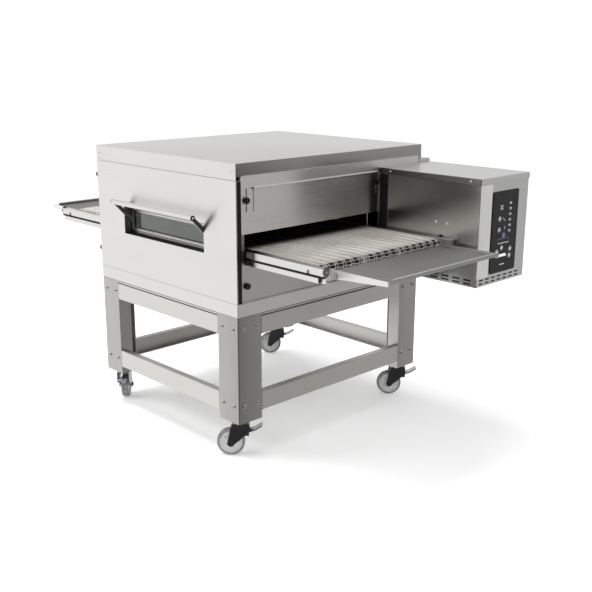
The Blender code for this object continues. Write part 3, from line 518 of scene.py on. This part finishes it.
def membrane(name, dark, light):
    """Printed polyester overlay with a fine leather texture."""
    finish = Finish(name)
    speckle = finish.noise(1100.0, 3.0, 0.7)
    wide = finish.noise(24.0, 2.0)
    share = finish.sum(finish.between(speckle, 0.45, 0.70), wide, 0.3)
    finish.set(Base_Color=finish.blend(share, dark, light))
    finish.set(Roughness=finish.between(wide, 0.3, 0.7, 0.34, 0.48))
    finish.relief(speckle, 0.00008)
    return finish.material


def oven_glass():
    """Heat-proof pane with a faint grey-green tint and a patchy baked-on haze."""
    finish = Finish("window_glass")
    haze = finish.noise(11.0, 4.0, 0.6)
    wiped = finish.noise(1.0, 3.0, 0.6, finish.stretched((3.0, 90.0, 140.0)))
    share = finish.between(finish.sum(haze, wiped, 0.25), 0.4, 0.95)
    finish.set(Base_Color=finish.blend(share, tone(100, 107, 99), tone(92, 98, 91)))
    finish.set(Roughness=finish.between(share, 0.0, 1.0, 0.04, 0.07))
    finish.set(Transmission_Weight=0.55, IOR=1.52, Coat_Weight=0.6, Coat_Roughness=0.04)
    return finish.material


def floor_paint():
    """Matt white studio floor."""
    finish = Finish("studio_white")
    mottle = finish.noise(2.0, 3.0)
    finish.set(Base_Color=finish.blend(mottle, (0.90, 0.90, 0.90, 1.0), (0.93, 0.93, 0.93, 1.0)))
    finish.set(Roughness=0.8, Specular_IOR_Level=0.2)
    finish.set(Emission_Color=(1.0, 1.0, 1.0, 1.0), Emission_Strength=0.22)
    return finish.material


BRIGHT = tone(224, 223, 221)
SATIN = tone(206, 203, 199)

bright_steel = brushed_steel("bright_steel", BRIGHT, 0.28)
# Painted shade on the cover's end flanges: ends darkens them.
cover_steel = brushed_steel("cover_steel", BRIGHT, 0.28, ends=0.58)
box_steel = brushed_steel("box_steel", tone(220, 220, 219), 0.14)
# Painted shade on the lid's front and back faces: ends darkens them.
lid_steel = brushed_steel("lid_steel", BRIGHT, 0.28, along="Y", ends=0.42)
plate_steel = brushed_steel("plate_steel", tone(240, 238, 235), 0.27, along="Y")
jamb_steel = brushed_steel("jamb_steel", tone(205, 203, 200), 0.40, along="Z")
satin_steel = brushed_steel("satin_steel", SATIN, 0.30, along="Y")
# Half metallic, so its pale base colour shows as painted brightness on the strips in place of their mirror
# reflection.
edge_steel = brushed_steel("edge_steel", tone(228, 227, 225), 0.34, along="Z", metal=0.5)
frame_steel = brushed_steel("frame_steel", tone(176, 174, 170), 0.36)
upright_steel = brushed_steel("upright_steel", tone(222, 220, 216), 0.36, along="Z")
rail_steel = brushed_steel("rail_steel", tone(222, 220, 216), 0.36)
# Painted light on the shelves' faces that face along Y: ends lightens them.
shelf_steel = brushed_steel("shelf_steel", tone(178, 177, 175), 0.34, along="Y", grain=1.2, ends=1.4)
dull_steel = brushed_steel("dull_steel", tone(150, 148, 145), 0.36, along="Y", grain=1.2, ends=1.6)
# Less metallic than steel, so the pale base colour shows as painted brightness on the heads, most on
# screw_steel.
bolt_steel = plated_steel("bolt_steel", tone(214, 213, 210), 0.28, metal=0.85)
screw_steel = plated_steel("screw_steel", tone(232, 231, 229), 0.26, metal=0.5)
polished_steel = plated_steel("polished_steel", tone(248, 247, 245), 0.18)
castor_steel = plated_steel("castor_steel", tone(196, 197, 199), 0.34)
# The near-black base is painted shade for the tunnel's inside; the straw patches are heat tint.
chamber_steel = oven_steel("chamber_steel", tone(40, 37, 34), 0.60)
belt_wire = belt_steel()
cast_aluminium = cast_metal()
knob_plastic = moulded_plastic("knob_plastic", tone(18, 18, 19), tone(32, 32, 33), 0.42, 0.0003)
cap_plastic = moulded_plastic("cap_plastic", tone(66, 68, 68), tone(88, 89, 88), 0.48, 0.0003)
guide_plastic = moulded_plastic("guide_plastic", tone(74, 66, 60), tone(98, 88, 80), 0.50, 0.0003)
peg_nylon = moulded_plastic("peg_nylon", tone(232, 232, 230), tone(244, 244, 242), 0.40, 0.0002)
wheel_nylon = moulded_plastic("wheel_nylon", tone(186, 187, 188), tone(206, 206, 206), 0.44, 0.0002)
black_rubber = moulded_plastic("black_rubber", tone(14, 13, 13), tone(30, 28, 27), 0.70, 0.0005)
panel_membrane = membrane("panel_membrane", tone(14, 14, 16), tone(27, 27, 29))
panel_print = membrane("panel_print", tone(168, 170, 172), tone(206, 207, 208))
panel_violet = membrane("panel_violet", tone(92, 90, 120), tone(120, 118, 148))
window_glass = oven_glass()
castor_tyre = rubber_tyre()

SLOT_FINISHES = {
    "bright_steel": bright_steel,
    "satin_steel": satin_steel,
    "castor_steel": castor_steel,
    "belt_wire": belt_wire,
    "chamber_steel": chamber_steel,
    "cast_aluminium": cast_aluminium,
    "knob_plastic": knob_plastic,
    "panel_membrane": panel_membrane,
    "window_glass": window_glass,
    "castor_tyre": castor_tyre,
}
NODE_FINISHES = {
    "hatch_frame": frame_steel, "exit_shelf": shelf_steel, "entry_shelf": dull_steel,
    "top_cover": cover_steel, "control_box": box_steel, "control_box_lid": lid_steel,
    "end_frame_exit": plate_steel, "end_frame_entry": plate_steel,
    "shutter_upper_exit": plate_steel, "shutter_upper_entry": plate_steel,
}
NODE_FINISHES.update({f"leg_{corner}": upright_steel for corner in CORNERS})
NODE_FINISHES.update({
    f"rail_{level}_{place}": rail_steel for level in ("upper", "lower") for place in ("front", "rear")
})


def smooth_group():
    """Geometry nodes that join a mesh's corners and shade it smooth below a limit angle."""
    group = bpy.data.node_groups.new("smooth_below_angle", "GeometryNodeTree")
    for direction in ("INPUT", "OUTPUT"):
        group.interface.new_socket("Geometry", in_out=direction, socket_type="NodeSocketGeometry")
    source = add_node(group, "NodeGroupInput").outputs["Geometry"]
    bare = add_node(group, "GeometryNodeRemoveAttribute", {"Geometry": source, "Name": "custom_normal"})
    joined = add_node(group, "GeometryNodeMergeByDistance", {
        "Geometry": bare.outputs["Geometry"], "Distance": 0.00001,
    })
    smooth = add_node(group, "GeometryNodeSetShadeSmooth", {
        "Geometry": joined.outputs["Geometry"], "Shade Smooth": True,
    }, domain="FACE")
    angle = add_node(group, "GeometryNodeInputMeshEdgeAngle").outputs["Unsigned Angle"]
    folded = add_node(
        group, "FunctionNodeCompare", {"A": angle, "B": SMOOTH_BELOW}, operation="GREATER_THAN",
    )
    sharp = add_node(group, "GeometryNodeSetShadeSmooth", {
        "Geometry": smooth.outputs["Geometry"], "Selection": folded.outputs["Result"],
        "Shade Smooth": False,
    }, domain="EDGE")
    add_node(group, "NodeGroupOutput", {"Geometry": sharp.outputs["Geometry"]})
    return group


def paint_cad_nodes():
    """Every CAD node gets its own finish or its slot's, and smooth shading on its round faces."""
    group = smooth_group()
    for name, node in frame["nodes"].items():
        slot = node.data.materials[0].name.split(".")[0]
        node.data.materials[0] = NODE_FINISHES.get(name, SLOT_FINISHES[slot])
        node.modifiers.new("smooth", "NODES").node_group = group


# --- Belt ---------------------------------------------------------------------------------------


def wire_belt():
    """Flat-flex belt: rods across the belt, each hooked into the one before it all along."""
    low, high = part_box("wire_belt")
    reach = middle_of("drive_shaft").x
    level = (low.z + high.z) / 2
    wire = 0.0015
    bend = (high.z - low.z) / 2 - wire
    span = 2 * reach
    loop = 2 * span + math.tau * bend
    rods, spaces = 240, 16
    pitch = loop / rods

    def on_loop(travel, lift):
        travel %= loop
        if travel < span:
            return travel - reach, level + bend + lift
        if travel < span + math.pi * bend:
            angle = (travel - span) / bend
            out = bend + lift
            return reach + out * math.sin(angle), level + out * math.cos(angle)
        if travel < 2 * span + math.pi * bend:
            return reach - (travel - span - math.pi * bend), level - bend - lift
        angle = (travel - 2 * span - math.pi * bend) / bend
        out = bend + lift
        return -reach - out * math.sin(angle), level - out * math.cos(angle)

    # The path of a rod, as (y, way along the loop, lift): its end curl, then a hook at every space.
    edge = low.y + wire + 0.0004
    curl, catch = pitch + 0.0022, pitch + 0.0024
    line = [
        (low.y + 0.016, -curl, -0.0010), (low.y + 0.006, -curl, -0.0008),
        (edge, -pitch * 0.8, -0.0004), (edge, -pitch * 0.15, 0.0), (low.y + 0.005, 0.0, 0.0),
    ]
    hook, tip, foot = 0.0062, 0.0040, 0.0074
    for space in range(1, spaces):
        middle = low.y + (high.y - low.y) * space / spaces
        line += [
            (middle - foot, 0.0, 0.0), (middle - hook, -pitch * 0.5, -0.0003),
            (middle - tip, -catch, -0.0013), (middle + tip, -catch, -0.0013),
            (middle + hook, -pitch * 0.5, -0.0003), (middle + foot, 0.0, 0.0),
        ]
    line += [(low.y + high.y - y, along, lift) for y, along, lift in reversed(line[:5])]
    mesh = bmesh.new()
    for rod in range(rods):
        points = []
        for y, along, lift in line:
            x, z = on_loop(rod * pitch + along, lift)
            points.append((x, y, z))
        tube(mesh, points, wire, 4)
    fitted("belt_wire_mesh", mesh, [belt_wire], "oven", replaces=["wire_belt"])


def belt_loop_shading():
    """Black core of painted shade round each belt shaft, between its sprocket discs."""
    belt_low, belt_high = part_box("wire_belt")
    ends = (belt_low.y + 0.004, belt_high.y - 0.004)
    for name in ("drive_shaft", "idler_shaft"):
        low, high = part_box(name)
        middle = middle_of(name)
        # A black core of painted shade inside the belt's loop.
        mesh = bmesh.new()
        crossbar(mesh, middle.x, middle.z, ends, (high.z - low.z) / 2 - 0.0012, 32)
        fitted(f"{name}_shade_core", mesh, [black_rubber], name)


# --- Fasteners ----------------------------------------------------------------------------------


def button_screw(mesh, point, direction, radius, material=0):
    """Domed screw head with a hexagon socket."""
    rise = radius * 0.55
    dome = [(radius * math.cos(a), rise * math.sin(a)) for a in (0.0, 0.4, 0.8, 1.1)]
    socket = radius * 0.42
    profile = [(radius, -SINK)] + dome + [(socket, rise), (socket * 0.9, rise * 0.35), (0.0, rise * 0.3)]
    place = facing(point, direction)
    turn(mesh, profile, 24, place, material)


def leg_bolts():
    """Two bolts at each end of each leg face, into the upper and the lower rails."""
    head, insets = 0.0082, (0.028, 0.092)
    for corner in CORNERS:
        low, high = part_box(f"leg_{corner}")
        side_x = 1 if "right" in corner else -1
        side_y = 1 if "rear" in corner else -1
        face_x = high.x if side_x > 0 else low.x
        face_y = high.y if side_y > 0 else low.y
        mesh = bmesh.new()
        for rail in ("rail_upper_front", "rail_lower_front"):
            height = middle_of(rail).z
            for inset in insets:
                button_screw(mesh, (face_x - side_x * inset, face_y, height), (0, side_y, 0), head)
                button_screw(mesh, (face_x, face_y - side_y * inset, height), (side_x, 0, 0), head)
        fitted(f"leg_bolts_{corner}", mesh, [bolt_steel], "oven")


def box_screws():
    """Lid screws, and the four bolts that hold the gearmotor round the belt's drive shaft."""
    low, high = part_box("control_box_lid")
    height = (low.z + high.z) / 2
    head = 0.0042
    mesh = bmesh.new()
    for across in (low.x + 0.055, high.x - 0.048):
        button_screw(mesh, (across, low.y, height), (0, -1, 0), head)
    for across in (low.y + 0.05, high.y - 0.05):
        button_screw(mesh, (high.x, across, height), (1, 0, 0), head)
    fitted("lid_screws", mesh, [screw_steel], "oven")
    shaft = middle_of("drive_shaft")
    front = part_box("control_box")[0].y
    out, up, raised, head = 0.0265, 0.056, 0.020, 0.0062  # raised: the bolts' middle, above the shaft
    mesh = bmesh.new()
    for x in (shaft.x - out, shaft.x + out):
        for z in (shaft.z + raised - up, shaft.z + raised + up):
            button_screw(mesh, (x, front, z), (0, -1, 0), head)
    fitted("gearmotor_bolts", mesh, [screw_steel], "oven")


def cover_screws():
    """Small screws in the front flange of the top cover and the entry side of the rear casing."""
    low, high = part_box("top_cover")
    mesh = bmesh.new()
    for across in (low.x + 0.022, high.x - 0.022):
        button_screw(mesh, (across, low.y, low.z + 0.032), (0, -1, 0), 0.0040)
    low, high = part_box("rear_casing")
    for height in (low.z + 0.050, high.z - 0.050):
        button_screw(mesh, (low.x, (low.y + high.y) / 2, height), (-1, 0, 0), 0.0045)
    fitted("cover_screws", mesh, [screw_steel], "oven")


def entry_bumpers():
    """Two rubber bumpers behind the front skin's edge at the entry end."""
    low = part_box("front_panel")[0]
    radius, rise = 0.0110, 0.0180
    dome = [(radius * math.cos(a), rise - radius * 0.6 * (1 - math.sin(a))) for a in (0.0, 0.5, 1.0, 1.5)]
    profile = [(0.0, SINK), (radius, SINK)] + dome + [(0.0, rise)]
    mesh = bmesh.new()
    for knob in ("knob_upper_entry_front", "knob_lower_entry_front"):
        height = middle_of(knob).z + 0.012
        turn(mesh, profile, 32, facing((low.x, low.y + radius + 0.0006, height), (-1, 0, 0)))
    fitted("entry_bumpers", mesh, [black_rubber], "oven")


# --- Tunnel ends --------------------------------------------------------------------------------


def skin_gap_shades():
    """Black strip of painted shade down the gap between the front skin and the sliding shutter, at each
    end.
    """
    low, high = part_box("front_panel")
    margin = 0.0010
    for end, side in ENDS:
        shutter = f"shutter_upper_{end}"
        across = sorted((
            outer_x(shutter, side) + side * 0.0006, outer_x("front_panel", side) + side * 0.0003,
        ))
        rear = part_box(shutter)[0].y - 0.0004
        # A black strip of painted shade fills the gap.
        mesh = bmesh.new()
        block(mesh, (across[0], low.y + 0.0030, low.z + margin), (across[1], rear, high.z - margin), 0.0006)
        fitted(f"skin_gap_shade_{end}", mesh, [black_rubber], "oven")


def hoods():
    """Rolled lip and top edge of each hood, and the jamb plate and stay rod of the mouth below it."""
    for end, side in ENDS:
        low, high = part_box(f"end_frame_{end}")
        shutter = f"shutter_upper_{end}"
        shutter_low, shutter_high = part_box(shutter)
        face = outer_x(f"end_frame_{end}", side)
        mesh = bmesh.new()
        ends = (shutter_low.y + 0.056, shutter_high.y - 0.020)
        crossbar(mesh, face - side * 0.0022, shutter_high.z - 0.0085, ends, 0.0040)
        ends = (low.y + 0.004, high.y - 0.004)
        crossbar(mesh, face - side * 0.0062, high.z + 0.0012, ends, 0.0015, 12)
        fitted(f"hood_lip_{end}", mesh, [polished_steel], "oven")
        wall = outer_x(shutter, -side) - side * 0.0002
        depth = sorted((wall, wall - side * (0.0004 + SINK)))
        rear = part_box("conveyor_frame")[0].y - 0.0036
        foot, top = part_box(f"shutter_lower_{end}")[1].z - 0.004, shutter_low.z + 0.004
        mesh = bmesh.new()
        block(mesh, (depth[0], low.y + 0.0030, foot), (depth[1], rear, top))
        fitted(f"mouth_jamb_{end}", mesh, [jamb_steel], "oven")
        x, y = face - side * 0.0140, shutter_high.y - 0.063
        mesh = bmesh.new()
        beam(mesh, (x, y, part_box("wire_belt")[1].z + 0.001), (x, y, shutter_low.z + 0.006), 0.0016, 12)
        fitted(f"mouth_stay_{end}", mesh, [polished_steel], "oven")


def shutter_scales():
    """Engraved setting line beside the front slot of each sliding shutter, with its ticks."""
    down, up = 0.043, 0.039  # how far the line runs below and above the knob
    spacing, tick, zero_tick = 0.0105, 0.0028, 0.0055
    half_line, half_tick = 0.0012, 0.0005
    for end, side in ENDS:
        face = outer_x(f"shutter_upper_{end}", side)
        knob = middle_of(f"knob_upper_{end}_front")
        line = knob.y + 0.0355
        depth = sorted((face - side * SINK, face + side * 0.0002))
        mesh = bmesh.new()
        block(mesh, (depth[0], line - half_line, knob.z - down), (depth[1], line + half_line, knob.z + up))
        for step in range(-3, 4):
            reach = zero_tick if step == 0 else tick
            height = knob.z + spacing * step
            block(mesh, (depth[0], line - reach, height - half_tick), (depth[1], line, height + half_tick))
        fitted(f"shutter_scale_{end}", mesh, [black_rubber], f"shutter_{end}")


def shutter_knobs():
    """Fluted hand knobs on a short collar, each with its stud behind it."""
    stud, collar, dimple = 0.0040, 0.0072, 0.0060  # radii
    for end, side in ENDS:
        for level in ("upper", "lower"):
            for place in ("front", "rear"):
                name = f"knob_{level}_{end}_{place}"
                low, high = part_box(name)
                middle = middle_of(name)
                foot = outer_x(name, -side) + side * 0.0083
                length = abs(outer_x(name, side) - foot)
                stand = facing((foot, middle.y, middle.z), (side, 0, 0))
                mesh = bmesh.new()
                turn(mesh, [(0.0, -0.0080), (stud, -0.0080), (stud, 0.0002)], 24, stand, 1)
                turn(mesh, [(stud, 0.0002), (collar, 0.0002), (collar, 0.0024)], 24, stand)
                grip = (high.z - low.z) / 2
                profile = [(collar, 0.0024), (grip - 0.0006, 0.0034), (grip, 0.0044),
                           (grip, length - 0.0028), (grip - 0.0010, length - 0.0010),
                           (grip - 0.0030, length - 0.0001), (dimple - 0.0002, length - 0.0001)]
                turn(mesh, profile, 96, stand, 0, flutes=12, depth=0.0011)
                floor = length - 0.0012
                turn(mesh, [(dimple, length - 0.0004), (dimple - 0.0010, floor), (0.0, floor)], 32, stand)
                fitted(f"{name}_grip", mesh, [knob_plastic, screw_steel], name,
                       replaces=[name])


# --- Conveyor ends ------------------------------------------------------------------------------


def rail_ends():
    """Black strip of painted shade in each rail's outer groove, oval end plugs, and the guides at the
    tunnel's mouths.
    """
    low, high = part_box("conveyor_frame")
    foot, top, margin = low.z + 0.0184, low.z + 0.0266, 0.003
    mesh = bmesh.new()
    # Black strips of painted shade, laid in the grooves along both rails.
    for outer, inward in ((low.y, 1), (high.y, -1)):
        ends = sorted((outer + inward * 0.0012, outer + inward * 0.0090))
        block(mesh, (low.x + margin, ends[0], foot), (high.x - margin, ends[1], top))
    fitted("rail_groove_shade_strips", mesh, [black_rubber], "oven")
    half_rail, radius, rise = 0.012, 0.0122, 0.0055
    oval = arc(radius, 12, (0.0, rise), 0.0, math.pi)
    oval += arc(radius, 12, (0.0, -rise), math.pi, math.pi)
    mesh = bmesh.new()
    for side, middle in ((-1, low.y + half_rail), (-1, high.y - half_rail), (1, low.y + half_rail)):
        edge = outer_x("conveyor_frame", side)
        place = facing((edge, middle, high.z - 0.0115), (side, 0, 0))
        prism(mesh, oval, -0.0050, 0.0022, place)
        turn(mesh, [(0.0, 0.0034), (0.0040, 0.0034), (0.0046, 0.0020)], 24, place, 1)
    fitted("rail_end_plugs", mesh, [cap_plastic, castor_steel], "oven")
    rivet, length = 0.0085, 0.0300
    mesh = bmesh.new()
    for end, side in ENDS:
        face = outer_x(f"end_frame_{end}", side) - side * 0.0030
        ends = sorted((face, face + side * length))
        block(mesh, (ends[0], low.y - 0.0034, low.z + 0.029), (ends[1], low.y - 0.0001, high.z - 0.001),
              0.0014)
        crossbar(mesh, face + side * 0.017, high.z - 0.012, (low.y - 0.0030, low.y - 0.0060), rivet, 28)
    fitted("mouth_guides", mesh, [guide_plastic], "oven")


def shelf_details():
    """Nylon peg behind each landing shelf, the bead along its outer hem, and its notched flange."""
    upright = Matrix.Rotation(math.radians(90), 4, "X")
    for (end, side), shaft in zip(ENDS, ("drive_shaft", "idler_shaft")):
        node = f"{end}_shelf"
        low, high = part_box(node)
        inner, outer = outer_x(node, -side), outer_x(node, side)
        peg, level = outer - side * 0.0050, high.z - 0.0150
        mesh = bmesh.new()
        crossbar(mesh, peg, level, (high.y + 0.0002, high.y + 0.044), 0.0046, material=1)
        crossbar(mesh, peg, level, (high.y + 0.038, high.y + 0.048), 0.0050, material=1)
        bead = outer - side * 0.0036
        crossbar(mesh, bead, high.z - 0.0028, (low.y + 0.027, high.y), 0.0033, 20)
        fitted(f"shelf_peg_{end}", mesh, [polished_steel, peg_nylon], node)
        foot, top, clear = low.z + 0.0005, high.z - 0.0048, high.z - 0.0142
        axis = middle_of(shaft).x
        near, far = axis + side * 0.0372, axis + side * 0.0588  # the notch is over the conveyor's end bar
        outline = [(inner, top), (inner, foot), (near, foot), (near, clear), (far, clear), (far, foot),
                   (bead, foot + 0.0155), (bead, top)]
        # The flange strip is edge_steel: painted brightness in place of its mirror reflection.
        mesh = bmesh.new()
        prism(mesh, outline, -low.y - 0.0002, -low.y + 0.0005, upright)
        fitted(f"shelf_flange_{end}", mesh, [edge_steel], node)


# --- Window hatch -------------------------------------------------------------------------------


def hatch_frame_lines():
    """Black bead round the pane, and the bright trim round that."""
    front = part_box("hatch_frame")[0].y
    low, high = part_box("hatch_glass")
    inset, half, depth = 0.0045, 0.0017, (front + 0.0042, front + 0.0078)
    xs, zs = (low.x + inset, high.x - inset), (low.z + inset, high.z - inset)
    mesh = bmesh.new()
    for z in zs:
        block(mesh, (xs[0], depth[0], z - half), (xs[1], depth[1], z + half), 0.0008)
    for x in xs:
        block(mesh, (x - half, depth[0], zs[0]), (x + half, depth[1], zs[1]), 0.0008)
    fitted("glazing_bead", mesh, [black_rubber], "hatch")
    out, radius, y = 0.0052, 0.0026, front + 0.0006
    xs, zs = ((ends[0] - out, ends[1] + out) for ends in (xs, zs))
    mesh = bmesh.new()
    for z in zs:
        beam(mesh, (xs[0], y, z), (xs[1], y, z), radius, 16)
    for x in xs:
        beam(mesh, (x, y, zs[0]), (x, y, zs[1]), radius, 16)
    fitted("hatch_trim", mesh, [polished_steel], "hatch")


def hatch_fasteners():
    """Screws of the hatch's frame, and the end caps of its bar handle."""
    low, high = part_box("hatch_frame")
    mesh = bmesh.new()
    for across in (low.x + 0.035, (low.x + high.x) / 2, high.x - 0.035):
        for height in (low.z + 0.010, high.z - 0.010):
            button_screw(mesh, (across, low.y, height), (0, -1, 0), 0.0028)
    fitted("hatch_screws", mesh, [screw_steel], "hatch")
    low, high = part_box("hatch_handle")
    y, z = low.y + 0.0100, high.z - 0.0100
    mesh = bmesh.new()
    for side in (-1, 1):
        end = outer_x("hatch_handle", side)
        start, face = end + side * 0.0001, end + side * 0.0040
        beam(mesh, (start, y, z), (face, y, z), 0.0098, 36)
        button_screw(mesh, (face, y, z), (side, 0, 0), 0.0050, 1)
    fitted("handle_caps", mesh, [knob_plastic, screw_steel], "hatch")


def recess_seal_and_shade():
    """Black seal under the hatch and up both sides of it, also painting shade on the recess's sill and
    jambs.
    """
    low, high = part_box("hatch_frame")
    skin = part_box("front_panel")[0].y
    sill, lintel = low.z - 0.0029, high.z + 0.0028
    # These black strips are a seal and painted shade on the sill and jambs together.
    mesh = bmesh.new()
    block(mesh, (low.x - 0.0010, skin + 0.0008, sill), (high.x + 0.0010, low.y + 0.006, sill + 0.0009))
    for side in (-1, 1):
        edge = outer_x("hatch_frame", side)
        ends = sorted((edge + side * 0.0005, edge + side * 0.0013))
        block(mesh, (ends[0], skin + 0.0090, sill), (ends[1], skin + 0.0210, lintel))
    fitted("recess_seal_and_shade", mesh, [black_rubber], "oven")


# --- Control panel ------------------------------------------------------------------------------


def panel_marks():
    """Symbols of the membrane keys: rings, bars, a cross and a display window, without lettering.

    Places are shares of the panel's width and height, and sizes are metres.
    """
    low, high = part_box("control_panel")
    width, height = high.y - low.y, high.z - low.z
    upright = Vector((1, 0, 0)).to_track_quat("Z", "Y").to_matrix().to_4x4()
    foot, face = -SINK, 0.0002
    mesh = bmesh.new()

    def spot(u, v):
        return Matrix.Translation((high.x, low.y + u * width, low.z + v * height)) @ upright

    def bar(u, v, across, along, material=0, turned=0.0):
        place = spot(u, v) @ Matrix.Rotation(math.radians(turned), 4, "Z")
        half_x, half_y = across / 2, along / 2
        block(mesh, (-half_x, -half_y, foot), (half_x, half_y, face), 0.0, material, place)

    def disc(u, v, radius, steps=28, material=0):
        turn(mesh, [(0.0, face), (radius, face), (radius, foot)], steps, spot(u, v), material)

    def ring(u, v, radius, line):
        profile = [(radius, foot), (radius, face), (radius - line, face), (radius - line, foot)]
        turn(mesh, profile, 32, spot(u, v))

    for turned in (45, -45):
        bar(0.345, 0.800, 0.024, 0.0042, 0, turned)
    for v in (0.665, 0.530):
        disc(0.29, v, 0.0062)
        ring(0.29, v, 0.0098, 0.0010)
    bar(0.46, 0.650, 0.020, 0.0026, 0, -40)
    bar(0.50, 0.545, 0.0030, 0.0110)
    for step in range(6):
        v = 0.845 - 0.068 * step
        bar(0.680, v, 0.0120, 0.0040)
        bar(0.680, v - 0.018, 0.0080, 0.0022)
        bar(0.725, v - 0.009, 0.0026, 0.0090)
    disc(0.475, 0.455, 0.0105, 32, 1)
    for v, along, material in ((0.415, 0.0020, 1), (0.360, 0.0030, 0)):
        bar(0.475, v, 0.074, along, material)
    for u in (0.26, 0.69):
        bar(u, 0.388, 0.0016, 0.0170, 1)
    for u, v in ((0.425, 0.300), (0.770, 0.270), (0.240, 0.262), (0.755, 0.185)):
        disc(u, v, 0.0068)
        ring(u, v, 0.0100, 0.0009)
    bar(0.470, 0.095, 0.032, 0.0042)
    fitted("panel_marks", mesh, [panel_print, panel_violet], "oven")


def box_details():
    """Folded strip down the control box's front corner, a black band of painted shade at its side, and
    black sheets of painted shade behind its vents.
    """
    low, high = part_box("control_box")
    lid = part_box("control_box_lid")[0].z
    front, rear = low.y + 0.0006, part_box("control_panel")[0].y - 0.006
    back, flat, crest = high.x - 0.0002, high.x + 0.0004, high.x + 0.0022
    outline = [(back, front), (flat, front), (crest, low.y + 0.0260), (flat, rear), (back, rear)]
    mesh = bmesh.new()
    prism(mesh, outline, low.z + 0.034, lid - 0.0005, Matrix.Identity(4))
    fitted("box_corner_strip", mesh, [edge_steel], "oven")
    # Black band of painted shade on the box's front, next to the hood.
    mesh = bmesh.new()
    block(mesh, (low.x + 0.0003, low.y - 0.0016, low.z + 0.002),
          (low.x + 0.0430, low.y + SINK, lid - 0.001), 0.0005)
    fitted("box_side_shade_band", mesh, [black_rubber], "oven")
    thick = 0.0010
    foot, top = low.z + 0.0035, low.z + 0.0330
    front, side = low.y + 0.0020, high.x - 0.0020  # the inner faces of the box's walls
    # Black sheets of painted shade behind the vent holes.
    mesh = bmesh.new()
    block(mesh, (low.x + 0.210, front - SINK, foot), (high.x - 0.020, front + thick, top))
    block(mesh, (side - thick, low.y + 0.010, foot), (side + SINK, high.y - 0.030, top))
    fitted("vent_shade_sheets", mesh, [black_rubber], "oven")


def stand_gap_spacer_and_shade():
    """Steel spacer between two black strips of painted shade, on top of each of the stand's upper rails."""
    inset = 0.0015  # of the strips, behind the spacer's faces
    mesh = bmesh.new()
    for place in ("front", "rear", "left", "right"):
        low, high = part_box(f"rail_upper_{place}")
        foot, under, over, top = high.z + SINK, high.z + 0.0048, UNDERSIDE - 0.0016, UNDERSIDE - SINK
        # The black strips are painted shade in the gap under the oven; the spacer between them is steel.
        block(mesh, (low.x + inset, low.y + inset, foot), (high.x - inset, high.y - inset, under))
        block(mesh, (low.x, low.y, under), (high.x, high.y, over), material=1)
        block(mesh, (low.x + inset, low.y + inset, over), (high.x - inset, high.y - inset, top))
    fitted("stand_gap_spacer_and_shade", mesh, [black_rubber, rail_steel], "oven")


# --- Castor wheels ------------------------------------------------------------------------------


def castor_wheels():
    """Grey tread on a pale nylon disc with five bosses, and a steel bearing cap."""
    half = 0.0145  # of the tread's width
    boss_reach, boss_half_length, boss_half_width = 0.0305, 0.0075, 0.0024
    for corner in CORNERS:
        node = f"castor_wheel_{corner}"
        low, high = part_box(node)
        place = facing(middle_of(node), JOINTS[f"roll_{corner}"]["axis"])
        radius = (high.z - low.z) / 2
        rim = radius - 0.011
        tread = [(rim, -half + 0.0005), (radius - 0.0045, -half), (radius - 0.0022, -half + 0.0012),
                 (radius - 0.0006, -half + 0.005), (radius, -half + 0.009)]
        mesh = bmesh.new()
        turn(mesh, tread + [(r, -z) for r, z in reversed(tread)], 72, place)
        dish = [(rim + 0.0005, half - 0.0007), (rim - 0.0035, half - 0.0010), (rim - 0.0050, half - 0.0048),
                (0.0215, half - 0.0060), (0.0185, half - 0.0010), (0.0125, half + 0.0006)]
        cap = [(0.0127, half + 0.0006), (0.0118, half + 0.0026), (0.0100, half + 0.0030),
               (0.0066, half + 0.0030)]
        for side in (1, -1):
            turn(mesh, [(r, side * z) for r, z in dish], 72, place, 1)
            turn(mesh, [(r, side * z) for r, z in cap], 40, place, 2)
            ends = sorted((side * (half - 0.0075), side * (half - 0.0030)))
            for boss in range(5):
                turned = Matrix.Rotation(math.tau * boss / 5, 4, "Z")
                spot = place @ turned @ Matrix.Translation((boss_reach, 0, 0))
                block(mesh, (-boss_half_length, -boss_half_width, ends[0]),
                      (boss_half_length, boss_half_width, ends[1]), 0.0010, 1, spot)
        fitted(
            f"wheel_{corner}_tyre_and_disc", mesh, [castor_tyre, wheel_nylon, castor_steel],
            f"wheel_{corner}", replaces=[node],
        )


# --- Build --------------------------------------------------------------------------------------

camera()
studio()
paint_cad_nodes()
wire_belt()
belt_loop_shading()
leg_bolts()
box_screws()
cover_screws()
entry_bumpers()
skin_gap_shades()
hoods()
shutter_scales()
shutter_knobs()
rail_ends()
shelf_details()
hatch_frame_lines()
hatch_fasteners()
recess_seal_and_shade()
panel_marks()
box_details()
stand_gap_spacer_and_shade()
castor_wheels()
